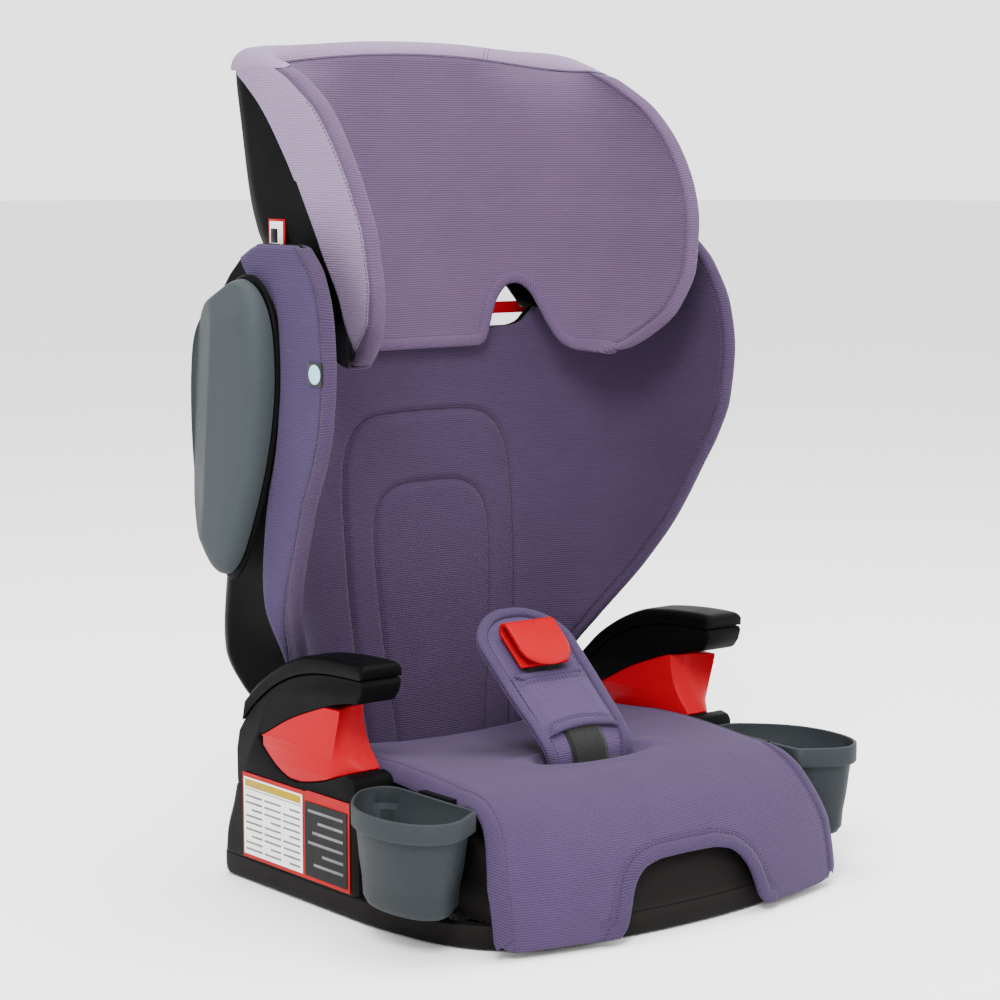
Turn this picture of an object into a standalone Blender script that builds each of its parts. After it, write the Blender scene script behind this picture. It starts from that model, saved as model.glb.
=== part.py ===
"""High-back belt-positioning booster seat for a child.

Origin: centre of the underside of the base, on the plane the seat stands on.
+Z up, the seat faces -Y, +X is the sitting child's left.  Metres.
Bodies: base, two lift-out cup holders, crotch clip strap, reclining backrest,
height-adjustable headrest with its release handle and lock bar.
"""
import math

import bmesh
import bpy
from mathutils import Vector

# ---------------------------------------------------------------- dimensions
GAP = 0.0004                 # clearance between neighbouring pieces
WALL = 0.003                 # moulded shell wall
FABRIC = 0.004               # padded cover thickness
LEAN = 0.08                  # rearward lean of the back, metres per metre of height
LEAN_Z = 0.30                # height at which the lean is zero

# base
BASE_HALF_W = 0.208          # half width of the base at its rear
POCKET_HALF_W = 0.168        # half width where the cup holders hang
POCKET_Y = 0.014             # rear end of the cup holder recess
SEAM_Z = 0.021               # joint between the lower and upper base shells
DECK_Z = 0.085               # top deck of the upper shell
FRONT_SWEEP = 0.028          # how far the bowed front falls back toward its corners
NOTCH_HALF_W = 0.160         # rear notch that takes the foot of the back
NOTCH_Y = 0.150
NOTCH_Z = 0.050
PIVOT_Y = 0.190              # recline pivot
PIVOT_Z = 0.066
PIVOT_R = 0.004
BASE_CORNER_R = 0.014        # rear corners of the base
FOOT_R = 0.012
FOOT_H = 0.0042
RUN_CLEAR = 0.00006          # running clearance of a bore on the pivot rod

# armrests
ARM_X_IN = 0.168
ARM_X_OUT = 0.2095

# cup holders
CUP_RIM_Z = 0.1125
CUP_FLOOR_Z = 0.032
CUP_RIM_BAND = 0.017
CUP_FLAT_X = 0.1755          # flat side of a cup holder, toward the base
CUP_OUT_X = 0.2470
CUP_REAR_Y = 0.0105
CUP_FRONT_Y = -0.1380

# clip strap
STRAP_PIVOT = (0.0, -0.0355, 0.1000)

# headrest and back
HEAD_Y = 0.175               # front face of the headrest at zero lean
BACK_Y = 0.185               # front face of the back cover at zero lean
BACK_REAR = BACK_Y + 0.0118   # rear face of the back shell's front wall at zero lean
HEAD_REAR = 0.1965           # rear face of the headrest shell at zero lean
HEAD_TOP_Z = 0.7210          # crown of the headrest
HEAD_TRAVEL = 0.130          # how far the headrest rises
RACK_Z = 0.262               # lowest notch of the height rack
RACK_STEPS = 7               # height settings
RACK_PITCH = HEAD_TRAVEL / (RACK_STEPS - 1) / math.hypot(1.0, LEAN)
RACK_DEPTH = 0.0100
RACK_FLOOR = 0.0060
HANDLE_Z = 0.606             # lower edge of the release handle
STEP_LOW_Z = 0.475           # below this the headrest pad lies in front of the back
STEP_HIGH_Z = 0.482

for old in list(bpy.data.objects):
    bpy.data.objects.remove(old, do_unlink=True)

PARTS = bpy.data.collections.new("booster_seat")
TOOLS = bpy.data.collections.new("cutters")
bpy.context.scene.collection.children.link(PARTS)
bpy.context.scene.collection.children.link(TOOLS)


# ----------------------------------------------------------------- materials
def material(name, rgb, rough, metallic=0.0):
    """A plain Principled material."""
    mat = bpy.data.materials.get(name) or bpy.data.materials.new(name)
    mat.use_nodes = True
    shader = mat.node_tree.nodes["Principled BSDF"]
    shader.inputs["Base Color"].default_value = (rgb[0], rgb[1], rgb[2], 1.0)
    shader.inputs["Roughness"].default_value = rough
    shader.inputs["Metallic"].default_value = metallic
    return mat


def black_plastic():
    return material("black_plastic", (0.018, 0.018, 0.019), 0.45)


def slate_plastic():
    return material("slate_plastic", (0.115, 0.140, 0.145), 0.55)


def red_plastic():
    return material("red_plastic", (0.80, 0.012, 0.018), 0.35)


def mauve_fabric():
    return material("mauve_fabric", (0.33, 0.24, 0.39), 0.9)


def purple_fabric():
    return material("purple_fabric", (0.17, 0.12, 0.25), 0.9)


def seat_fabric():
    return material("seat_fabric", (0.24, 0.18, 0.32), 0.9)


def strap_fabric():
    return material("strap_fabric", (0.19, 0.13, 0.25), 0.9)


def foam_grey():
    return material("foam_grey", (0.30, 0.30, 0.31), 0.95)


def webbing_black():
    return material("webbing_black", (0.015, 0.015, 0.017), 0.8)


def steel():
    return material("steel", (0.55, 0.56, 0.58), 0.3, 1.0)


def rubber_black():
    return material("rubber_black", (0.02, 0.02, 0.02), 0.85)


def label_white():
    return material("label_white", (0.80, 0.80, 0.78), 0.6)


# ------------------------------------------------------------------- helpers
def lean(z):
    """Rearward shift of the back and headrest at height z."""
    return LEAN * (z - LEAN_Z)


def link(obj, mat, cutter=False):
    """Put an object in its collection with its material."""
    if cutter:
        TOOLS.objects.link(obj)
        obj.hide_render = True
        obj.display_type = 'WIRE'
        return obj
    PARTS.objects.link(obj)
    obj.data.materials.clear()
    obj.data.materials.append(mat)
    return obj


def solid(name, verts, faces, mat, cutter=False):
    """Object from vertices and faces, with all normals facing out."""
    mesh = bpy.data.meshes.new(name)
    mesh.from_pydata([tuple(v) for v in verts], [], faces)
    bm = bmesh.new()
    bm.from_mesh(mesh)
    bmesh.ops.recalc_face_normals(bm, faces=bm.faces)
    bm.to_mesh(mesh)
    bm.free()
    return link(bpy.data.objects.new(name, mesh), mat, cutter)


def loft(name, rings, mat, cutter=False):
    """Closed body through rings of equal point count, capped at both ends."""
    count = len(rings[0])
    verts = [point for ring in rings for point in ring]
    faces = [tuple(range(count))]
    faces.append(tuple(range(len(verts) - count, len(verts))))
    for level in range(len(rings) - 1):
        low = level * count
        for i in range(count):
            j = (i + 1) % count
            faces.append((low + i, low + j, low + count + j, low + count + i))
    return solid(name, verts, faces, mat, cutter)


def band_loft(name, levels, mat):
    """Closed body from levels of (outer line, inner line) of equal point counts.

    Every quad is split along the matching diagonal on both skins and both halves, so
    that nested bands keep their gap.
    """
    count = len(levels[0][0])
    total = 2 * count
    verts = []
    for outer, inner in levels:
        verts += list(outer) + list(reversed(inner))
    faces = []
    for base in (0, len(verts) - total):
        for i in range(count - 1):
            faces.append((base + i, base + i + 1, base + total - 2 - i, base + total - 1 - i))
    for level in range(len(levels) - 1):
        low = level * total
        high = low + total
        for i in range(total):
            j = (i + 1) % total
            left_half = (i % count) < count // 2
            if left_half:
                faces.append((low + i, low + j, high + i))
                faces.append((low + j, high + j, high + i))
            else:
                faces.append((low + i, low + j, high + j))
                faces.append((low + i, high + j, high + i))
    return solid(name, verts, faces, mat)


def prism(name, outline, axis, low, high, mat, cutter=False):
    """A closed outline extruded along X, Y or Z.

    For X the outline is (y, z), for Y it is (x, z) and for Z it is (x, y).
    """
    data = bpy.data.curves.new(name + "_outline", 'CURVE')
    data.dimensions = '2D'
    data.fill_mode = 'BOTH'
    data.extrude = (high - low) / 2
    spline = data.splines.new('POLY')
    spline.points.add(len(outline) - 1)
    for point, place in zip(spline.points, outline):
        point.co = (place[0], place[1], 0.0, 1.0)
    spline.use_cyclic_u = True
    curve = bpy.data.objects.new(name + "_outline", data)
    mesh = bpy.data.meshes.new_from_object(curve)
    bpy.data.objects.remove(curve)
    middle = (low + high) / 2
    for vert in mesh.vertices:
        a, b, c = vert.co
        c += middle
        vert.co = {'X': (c, a, b), 'Y': (a, c, b), 'Z': (a, b, c)}[axis]
    bm = bmesh.new()
    bm.from_mesh(mesh)
    bmesh.ops.remove_doubles(bm, verts=bm.verts, dist=0.00001)
    bmesh.ops.recalc_face_normals(bm, faces=bm.faces)
    bm.to_mesh(mesh)
    bm.free()
    mesh.name = name
    return link(bpy.data.objects.new(name, mesh), mat, cutter)


def block(name, low, high, mat, cutter=False):
    """An axis-aligned box."""
    bpy.ops.mesh.primitive_cube_add(size=1.0)
    obj = bpy.context.object
    obj.name = name
    obj.data.name = name
    for vert in obj.data.vertices:
        for k in range(3):
            vert.co[k] = low[k] if vert.co[k] < 0 else high[k]
    for coll in list(obj.users_collection):
        coll.objects.unlink(obj)
    return link(obj, mat, cutter)


def rod(name, start, end, radius, mat, cutter=False, sides=24):
    """A round bar between two points."""
    a = Vector(start)
    b = Vector(end)
    bpy.ops.mesh.primitive_cylinder_add(vertices=sides, radius=radius, depth=(b - a).length)
    obj = bpy.context.object
    obj.name = name
    obj.data.name = name
    turn = Vector((0, 0, 1)).rotation_difference(b - a)
    for vert in obj.data.vertices:
        vert.co = turn @ vert.co + (a + b) / 2
    for coll in list(obj.users_collection):
        coll.objects.unlink(obj)
    return link(obj, mat, cutter)


def cut(obj, tool):
    """Subtract a cutter from an object."""
    mod = obj.modifiers.new("cut", 'BOOLEAN')
    mod.operation = 'DIFFERENCE'
    mod.solver = 'EXACT'
    mod.object = tool
    return obj


def soften(obj, width, segments=2, angle=35):
    """Rounded edges."""
    mod = obj.modifiers.new("soft_edges", 'BEVEL')
    mod.width = width
    mod.segments = segments
    mod.limit_method = 'ANGLE'
    mod.angle_limit = math.radians(angle)
    return obj


def hang_from(obj, point):
    """Move an object's origin to a joint point, leaving the shape in place."""
    for vert in obj.data.vertices:
        vert.co -= Vector(point)
    obj.location = point
    return obj


def mirrored(outline):
    """The outline mirrored to the other side of X = 0."""
    return [(-p[0],) + tuple(p[1:]) for p in outline]


def both_sides(half):
    """Full line from a half line that starts on X = 0."""
    return list(reversed(mirrored(half[1:]))) + list(half)


def offset_line(points, distance, closed=False):
    """Shift a 2D line sideways, to the right of its direction, by a distance per point."""
    count = len(points)
    result = []
    for i in range(count):
        before = points[i - 1] if (i > 0 or closed) else None
        after = points[(i + 1) % count] if (i < count - 1 or closed) else None
        normals = []
        for a, b in ((before, points[i]), (points[i], after)):
            if a is None or b is None:
                continue
            dx = b[0] - a[0]
            dy = b[1] - a[1]
            size = math.hypot(dx, dy)
            if size > 1e-9:
                normals.append((dy / size, -dx / size))
        nx = sum(n[0] for n in normals) / len(normals)
        ny = sum(n[1] for n in normals) / len(normals)
        square = max(nx * nx + ny * ny, 0.35)
        step = distance[i] if isinstance(distance, (list, tuple)) else distance
        result.append((points[i][0] + step * nx / square, points[i][1] + step * ny / square))
    return result


def bezier(p0, p1, p2, p3, steps):
    """Points on a cubic curve, ends included."""
    result = []
    for i in range(steps + 1):
        t = i / steps
        s = 1 - t
        weights = (s * s * s, 3 * s * s * t, 3 * s * t * t, t * t * t)
        result.append(tuple(sum(w * p[k] for w, p in zip(weights, (p0, p1, p2, p3)))
                            for k in range(2)))
    return result


def arc(centre, radius, start, end, steps):
    """Points on a circular arc, angles in degrees."""
    result = []
    for i in range(steps + 1):
        angle = math.radians(start + (end - start) * i / steps)
        result.append((centre[0] + radius * math.cos(angle), centre[1] + radius * math.sin(angle)))
    return result


def at_height(line, z):
    """A plan line lifted to a height."""
    return [(p[0], p[1], z) for p in line]


def blend_rows(rows, z):
    """Linear interpolation in rows that start with a height."""
    if z <= rows[0][0]:
        return rows[0][1:]
    for low, high in zip(rows, rows[1:]):
        if z <= high[0]:
            t = (z - low[0]) / (high[0] - low[0])
            return tuple(a + (b - a) * t for a, b in zip(low[1:], high[1:]))
    return rows[-1][1:]


# ------------------------------------------------------- plan of back and head
FLAT_STEPS = 2
CURVE_STEPS = 8
NOSE_STEPS = 5
FRONT_COUNT = FLAT_STEPS + CURVE_STEPS + 1


def wing_half_plan(y_centre, flat_x, tip, heading, nose_r, corner, corner_r):
    """Half plan of a wrap-around piece.

    Runs along the front face from the centre to the wing nose, round the nose, and
    back along the outside to the rear corner.  heading is the way the nose points:
    0 is outward (+X) and 90 is forward (-Y).
    """
    angle = math.radians(heading)
    along = (math.cos(angle), -math.sin(angle))
    out = (math.sin(angle), math.cos(angle))
    centre = (tip[0] - nose_r * along[0], tip[1] - nose_r * along[1])
    start = (centre[0] - nose_r * out[0], centre[1] - nose_r * out[1])
    front = [(flat_x * i / FLAT_STEPS, y_centre) for i in range(FLAT_STEPS)]
    reach = math.hypot(start[0] - flat_x, start[1] - y_centre)
    handle_a = (flat_x + 0.45 * reach, y_centre)
    handle_b = (start[0] - 0.42 * reach * along[0], start[1] - 0.42 * reach * along[1])
    front += bezier((flat_x, y_centre), handle_a, handle_b, start, CURVE_STEPS)
    nose = arc(centre, nose_r, 270 - heading, 360, NOSE_STEPS)[1:]
    corner_centre = (corner[0] - corner_r, corner[1] - corner_r)
    turn = arc(corner_centre, corner_r, 0, 90, 4)
    return front, nose, turn


# height, tip x, tip y, heading, nose radius
BACK_TIPS = (
    (0.078, 0.100, 0.1785, 0, 0.011),
    (0.125, 0.127, 0.1820, 0, 0.011),
    (0.160, 0.147, 0.1700, 30, 0.011),
    (0.197, 0.161, 0.1460, 55, 0.0115),
    (0.247, 0.184, 0.1120, 76, 0.012),
    (0.292, 0.197, 0.0830, 84, 0.012),
    (0.342, 0.205, 0.0550, 90, 0.012),
    (0.371, 0.2075, 0.0370, 90, 0.012),
    (0.404, 0.209, 0.0250, 90, 0.012),
    (0.451, 0.210, 0.0210, 90, 0.012),
    (0.486, 0.208, 0.0250, 90, 0.012),
    (0.526, 0.203, 0.0450, 90, 0.012),
    (0.549, 0.201, 0.0700, 90, 0.012),
)
# height, outer x, rear y, corner radius
BACK_CORNERS = (
    (0.078, 0.128, 0.226, 0.020),
    (0.125, 0.155, 0.238, 0.022),
    (0.160, 0.186, 0.240, 0.028),
    (0.197, 0.208, 0.236, 0.032),
    (0.247, 0.215, 0.224, 0.032),
    (0.292, 0.217, 0.214, 0.030),
    (0.342, 0.219, 0.212, 0.030),
    (0.404, 0.221, 0.216, 0.030),
    (0.451, 0.222, 0.219, 0.030),
    (0.486, 0.220, 0.222, 0.030),
    (0.526, 0.216, 0.225, 0.030),
    (0.549, 0.214, 0.227, 0.030),
)
# height, y where the cover ends on the outside of the wing
BACK_WRAP = (
    (0.078, 0.190), (0.125, 0.192), (0.160, 0.181), (0.197, 0.163), (0.247, 0.150),
    (0.292, 0.136), (0.342, 0.120), (0.371, 0.108), (0.404, 0.099), (0.451, 0.095),
    (0.486, 0.099), (0.505, 0.112), (0.522, 0.150), (0.549, 0.175),
)
BACK_LEVELS = (0.078, 0.125, 0.160, 0.197, 0.222, 0.247, 0.292, 0.342, 0.371, 0.404,
               0.451, 0.486, 0.505, 0.526, 0.549)

# height, tip x, tip y, nose radius
HEAD_TIPS = (
    (0.437, 0.127, 0.1120, 0.010),
    (0.445, 0.133, 0.0880, 0.010),
    (0.459, 0.140, 0.0610, 0.010),
    (0.476, 0.148, 0.0400, 0.011),
    (0.487, 0.152, 0.0320, 0.011),
    (0.522, 0.161, 0.0210, 0.011),
    (0.557, 0.166, 0.0230, 0.011),
    (0.591, 0.169, 0.0330, 0.011),
    (0.625, 0.170, 0.0520, 0.011),
    (0.660, 0.169, 0.0830, 0.011),
    (0.685, 0.167, 0.1280, 0.011),
    (0.700, 0.165, 0.1660, 0.011),
)
# height, outer x, rear y at zero lean, corner radius
HEAD_CORNERS = (
    (0.437, 0.140, 0.1835, 0.060),
    (0.459, 0.152, 0.1835, 0.072),
    (STEP_LOW_Z, 0.160, 0.1835, 0.080),
    (STEP_HIGH_Z, 0.162, HEAD_REAR, 0.115),
    (0.505, 0.166, HEAD_REAR, 0.110),
    (0.530, 0.173, HEAD_REAR, 0.095),
    (0.557, 0.182, HEAD_REAR, 0.050),
    (0.591, 0.186, HEAD_REAR, 0.036),
    (0.660, 0.187, HEAD_REAR, 0.032),
    (0.700, 0.186, HEAD_REAR, 0.030),
)
# height, y where the cover ends on the outside of the headrest wing
HEAD_WRAP = (
    (0.437, 0.125), (0.459, 0.085), (0.500, 0.083), (0.545, 0.097), (0.572, 0.108),
    (0.597, 0.121), (0.618, 0.135), (0.645, 0.154), (0.666, 0.172), (0.700, 0.192),
)
HEAD_LEVELS = (0.437, 0.445, 0.459, STEP_LOW_Z, STEP_HIGH_Z, 0.505, 0.530, 0.557, 0.591,
               0.625, 0.660, 0.685, 0.6995)
BACK_FLAT_X = 0.080
HEAD_FLAT_X = 0.045


def back_plan(z):
    """Front line, nose line and rear corner line of the back at height z."""
    tip_x, tip_y, heading, nose_r = blend_rows(BACK_TIPS, z)
    corner_x, corner_y, corner_r = blend_rows(BACK_CORNERS, z)
    flat_x = min(BACK_FLAT_X, 0.72 * tip_x)
    return wing_half_plan(BACK_Y + lean(z), flat_x, (tip_x, tip_y), heading, nose_r,
                          (corner_x, corner_y), corner_r)


def head_plan(z):
    """Front line, nose line and rear corner line of the headrest at height z."""
    tip_x, tip_y, nose_r = blend_rows(HEAD_TIPS, z)
    corner_x, corner_y, corner_r = blend_rows(HEAD_CORNERS, z)
    return wing_half_plan(HEAD_Y + lean(z), HEAD_FLAT_X, (tip_x, tip_y), 90, nose_r,
                          (corner_x, corner_y + lean(z)), corner_r)


def wrap_points(nose_end, corner_start, y_wrap, steps=2):
    """Points on the outer side from the nose back to where the cover ends."""
    span = max(corner_start[1] - nose_end[1], 1e-4)
    share = min(max((y_wrap - nose_end[1]) / span, 0.08), 0.97)
    result = []
    for i in range(1, steps + 1):
        t = share * i / steps
        result.append((nose_end[0] + (corner_start[0] - nose_end[0]) * t,
                       nose_end[1] + (corner_start[1] - nose_end[1]) * t))
    return result


def cover_band(plan, z, y_wrap, thickness):
    """Outer and inner lines of a fabric cover at one height."""
    front, nose, turn = plan
    half = front + nose + wrap_points(nose[-1], turn[0], y_wrap)
    inner = offset_line(half, -thickness)
    inner[0] = (0.0, front[0][1] + thickness)
    return at_height(both_sides(half), z), at_height(both_sides(inner), z)


def depth_profile(at_nose, at_centre):
    """Depth below the front face: shallow at the nose, deeper toward the centre."""
    depths = []
    for i in range(FRONT_COUNT):
        share = min((FRONT_COUNT - 1 - i) / 5.0, 1.0)
        ease = share * share * (3 - 2 * share)
        depths.append(at_nose + (at_centre - at_nose) * ease)
    return depths


# --------------------------------------------------------------------- base
def base_outline(front_y, rear_y, half_w, pocket_w, corner_r):
    """Plan of the base: rounded rear corners, side recesses and a bowed front."""
    half = []
    for x in (0.0, 0.045, 0.090, 0.125, 0.150):
        half.append((x, front_y + FRONT_SWEEP * (x / 0.165) ** 2.2))
    half.append((pocket_w - 0.006, front_y + FRONT_SWEEP + 0.004))
    half.append((pocket_w, front_y + FRONT_SWEEP + 0.018))
    half.append((pocket_w, POCKET_Y - 0.004))
    half.append((half_w, POCKET_Y))
    half += arc((half_w - corner_r, rear_y - corner_r), corner_r, 0, 90, 4)
    half.append((0.0, rear_y))
    return half + list(reversed(mirrored(half[1:-1])))


def base_upper_shell():
    """Upper base shell: open below, rear notch for the foot of the back."""
    rows = ((SEAM_Z + 0.0005, -0.1600, 0.2155), (0.040, -0.1565, 0.2130), (0.066, -0.1450, 0.2030),
            (DECK_Z, -0.1210, 0.1970))
    rings = []
    hollow = []
    for z, front_y, rear_y in rows:
        line = base_outline(front_y, rear_y, BASE_HALF_W, POCKET_HALF_W, BASE_CORNER_R)
        rings.append(at_height(line, z))
        inset = offset_line(line, -WALL, closed=True)
        low_z = z - WALL if z == DECK_Z else (z if z > rows[0][0] else z - 0.01)
        hollow.append(at_height(inset, low_z))
    obj = loft("base_upper_shell", rings, black_plastic())
    cut(obj, loft("cut_base_hollow", hollow, None, cutter=True))
    notch = block("cut_rear_notch", (-NOTCH_HALF_W, NOTCH_Y, NOTCH_Z), (NOTCH_HALF_W, 0.25, 0.12),
                  None, cutter=True)
    cut(obj, notch)
    slot = block("cut_strap_slot", (-0.030, -0.050, 0.07), (0.030, -0.020, 0.10), None, cutter=True)
    return cut(obj, slot)


def base_notch_tray():
    """Tray that floors the rear notch, with an upstand under the edge of the deck."""
    z = NOTCH_Z - GAP
    outline = [(NOTCH_Y - 0.0055, z - 0.0040), (0.1985, z - 0.0040), (0.1985, z),
               (NOTCH_Y - 0.0015, z), (NOTCH_Y - 0.0015, DECK_Z - WALL - GAP),
               (NOTCH_Y - 0.0055, DECK_Z - WALL - GAP)]
    return prism("notch_tray", outline, 'X', -NOTCH_HALF_W + 0.0015, NOTCH_HALF_W - 0.0015,
                 black_plastic())


def lower_outline(inset):
    """Plan of the lower shell, without the cup recess."""
    half = []
    for x in (0.0, 0.045, 0.090, 0.125, 0.150):
        half.append((x, -0.1610 + FRONT_SWEEP * (x / 0.165) ** 2.2))
    half.append((0.168, -0.1230))
    half.append((0.184, -0.1030))
    half.append((0.1975, -0.0720))
    half.append((0.2045, -0.0360))
    half.append((BASE_HALF_W, 0.0))
    half += arc((BASE_HALF_W - BASE_CORNER_R, 0.2165 - BASE_CORNER_R), BASE_CORNER_R, 0, 90, 4)
    half.append((0.0, 0.2165))
    loop = half + list(reversed(mirrored(half[1:-1])))
    return offset_line(loop, -inset, closed=True) if inset else loop


def foot_places():
    """Plan positions of the four rubber feet."""
    return (("front_left", -0.125, -0.108), ("front_right", 0.125, -0.108),
            ("rear_left", -0.172, 0.172), ("rear_right", 0.172, 0.172))


def base_lower_shell():
    """Lower tray of the base, open in the middle, with a socket for each foot."""
    rings = [at_height(lower_outline(0.004), 0.0012), at_height(lower_outline(0.0005), 0.0050),
             at_height(lower_outline(0.0), SEAM_Z)]
    obj = loft("base_lower_shell", rings, black_plastic())
    cut(obj, prism("cut_tray_inside", lower_outline(0.010), 'Z', 0.0075, 0.05, None, cutter=True))
    middle = [(-0.090, -0.108), (0.090, -0.108), (0.155, -0.060), (0.155, 0.155), (-0.155, 0.155),
              (-0.155, -0.060)]
    cut(obj, prism("cut_tray_middle", middle, 'Z', -0.02, 0.03, None, cutter=True))
    for name, x, y in foot_places():
        cut(obj, rod("cut_foot_" + name, (x, y, -0.01), (x, y, FOOT_H + GAP), FOOT_R + GAP, None,
                     cutter=True))
    return obj


def feet():
    """Four rubber pads in the sockets of the lower shell."""
    for name, x, y in foot_places():
        rod("foot_" + name, (x, y, 0.0), (x, y, FOOT_H), FOOT_R, rubber_black())


def base_screws():
    """Pan-head screws that join the two base shells, seen from below."""
    for name, x, y in (("front_left", -0.150, -0.070), ("front_right", 0.150, -0.070),
                       ("rear_left", -0.130, 0.180), ("rear_right", 0.130, 0.180)):
        rod("base_screw_" + name, (x, y, 0.0078), (x, y, 0.0105), 0.0042, steel(), sides=16)


def pivot_hardware():
    """Recline rod across the rear notch, with two brackets in the base."""
    y = PIVOT_Y
    z = PIVOT_Z
    rod("pivot_rod", (-NOTCH_HALF_W + 0.002, y, z), (NOTCH_HALF_W - 0.002, y, z), PIVOT_R, steel())
    for name, x in (("left", -0.100), ("right", 0.100)):
        outline = [(0.176, NOTCH_Z), (0.1915, NOTCH_Z)] + arc((y, z), 0.009, 0, 180, 8)
        ear = prism("pivot_bracket_" + name, outline, 'X', x - 0.004, x + 0.004, black_plastic())
        hole = rod("cut_pivot_" + name, (x - 0.01, y, z), (x + 0.01, y, z), PIVOT_R + RUN_CLEAR,
                   None, cutter=True)
        cut(ear, hole)


def strap_anchor():
    """Steel bar under the deck that the webbing of the clip strap loops round."""
    return rod("strap_anchor", (-0.036, -0.0350, DECK_Z - 0.0075), (0.036, -0.0350, DECK_Z - 0.0075),
               0.0035, steel())


def side_label():
    """Information sticker on the left side: red backing, a pale and a dark panel."""
    x = -BASE_HALF_W - 0.0010
    back = [(0.018, 0.0235), (0.1760, 0.0235), (0.1760, 0.0975), (0.082, 0.0975), (0.078, 0.0990),
            (0.018, 0.0990)]
    prism("side_label_backing", back, 'X', x - 0.0008, x - 0.0002, red_plastic())
    pale = [(0.0850, 0.0270), (0.1730, 0.0270), (0.1730, 0.0940), (0.0850, 0.0940)]
    prism("side_label_pale_panel", pale, 'X', x - 0.0016, x - 0.0011, label_white())
    dark = [(0.0210, 0.0270), (0.0810, 0.0270), (0.0810, 0.0900), (0.0210, 0.0900)]
    prism("side_label_dark_panel", dark, 'X', x - 0.0016, x - 0.0011, black_plastic())


ARM_SEAM = [(0.002, 0.2025), (0.027, 0.202), (0.049, 0.201), (0.073, 0.198), (0.101, 0.191),
            (0.130, 0.178), (0.158, 0.159), (0.176, 0.142)]
ARM_TOP = [(0.176, 0.1585), (0.153, 0.175), (0.123, 0.192), (0.095, 0.203), (0.076, 0.207),
           (0.048, 0.2115), (0.021, 0.2135), (0.004, 0.2135)]
ARM_UNDER = [(0.150, 0.1345), (0.144, 0.1360), (0.111, 0.1525), (0.074, 0.1665), (0.041, 0.1765),
             (0.019, 0.1810)]
RED_FOOT = [(0.024, 0.1222), (0.054, 0.1120), (0.082, 0.1055), (0.101, 0.1035),
            (0.120, 0.1085), (0.135, 0.1170), (0.147, 0.1260)]
RED_FRONT = [(0.047, 0.1740), (0.0465, 0.160), (0.043, 0.146), (0.036, 0.133)]
# height, y of the outer fold, y of the waisted front edge
RED_FOLD = ((0.100, 0.052, 0.018), (0.122, 0.048, 0.024), (0.134, 0.044, 0.0345),
            (0.148, 0.040, 0.0430), (0.165, 0.035, 0.0470), (0.190, 0.030, 0.0475))


def armrest_body(side):
    """Lower casing of an armrest: rail, rear pillar and arm as one moulding."""
    outline = [(0.0120, DECK_Z + GAP), (0.187, DECK_Z + GAP), (0.1875, 0.115), (0.1835, 0.132)]
    outline += [(y, z - GAP) for y, z in reversed(ARM_SEAM)]
    outline += [(0.000, 0.1985), (0.010, 0.1815)]
    outline += list(reversed(ARM_UNDER))
    outline += [(0.1525, 0.1310)]
    outline += [(y, z - 0.0006) for y, z in reversed(RED_FOOT)]
    outline += [(0.0150, 0.1195), (0.0120, 0.1150)]
    sign = -1 if side == "left" else 1
    ends = sorted((sign * (ARM_X_IN + 0.001), sign * (ARM_X_OUT - 0.001)))
    obj = prism("armrest_body_" + side, outline, 'X', ends[0], ends[1], black_plastic())
    return soften(obj, 0.0018, 1, 50)


def armrest_cap(side):
    """Padded-looking top cap of an armrest."""
    outline = [(y, z + GAP) for y, z in ARM_SEAM] + ARM_TOP + [(-0.0015, 0.2095)]
    sign = -1 if side == "left" else 1
    ends = sorted((sign * ARM_X_IN, sign * ARM_X_OUT))
    obj = prism("armrest_cap_" + side, outline, 'X', ends[0], ends[1], black_plastic())
    return soften(obj, 0.0035, 3, 50)


def fold_cutter(side, name, fold_x, tip_x, spread):
    """Wedge that slopes one side of the guide's front back from its foremost edge."""
    sign = -1 if side == "left" else 1
    rings = []
    for z, fold_y, tip_y in RED_FOLD:
        end_y = fold_y if spread > 0 else tip_y + 0.006
        run = (end_y - tip_y) / abs(fold_x - tip_x)
        far_x = fold_x + spread
        far_y = end_y + run * abs(spread)
        ring = [(tip_x, tip_y), (far_x, far_y), (far_x, tip_y - 0.060), (tip_x, tip_y - 0.060)]
        rings.append([(sign * x, y, z) for x, y in ring])
    return loft(name + side, rings, None, cutter=True)


def belt_guide(side):
    """Red lap-belt guide that fills the armrest opening; its front edge is waisted."""
    top = [(y - 0.0006, z - 0.0010) for y, z in ARM_UNDER if y > 0.045]
    outline = top + RED_FRONT + RED_FOOT
    outline = outline[:-1] + [(0.1460, 0.1262)]
    sign = -1 if side == "left" else 1
    ends = sorted((sign * 0.1700, sign * 0.2085))
    obj = prism("belt_guide_" + side, outline, 'X', ends[0], ends[1], red_plastic())
    cut(obj, fold_cutter(side, "cut_outer_fold_", 0.2085, 0.186, 0.02))
    return cut(obj, fold_cutter(side, "cut_inner_fold_", 0.170, 0.186, -0.02))


# ------------------------------------------------------------------ seat pad
SEAT_TOP = ((0.146, 0.1075), (0.110, 0.1080), (0.060, 0.1120), (0.010, 0.1180), (-0.040, 0.1210),
            (-0.078, 0.1195), (-0.106, 0.1120), (-0.134, 0.0960), (-0.156, 0.0700),
            (-0.1690, 0.0380), (-0.1740, 0.0065))
SEAT_HALF_W = 0.168          # half width of the seat pad on top
SEAT_FLARE = 0.100           # share by which the drape widens toward its hem
SEAT_LIFT = 0.016            # how far the pad's sides rise beside the hips


def clamp(value):
    """Limit a share to 0..1."""
    return min(max(value, 0.0), 1.0)


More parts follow.
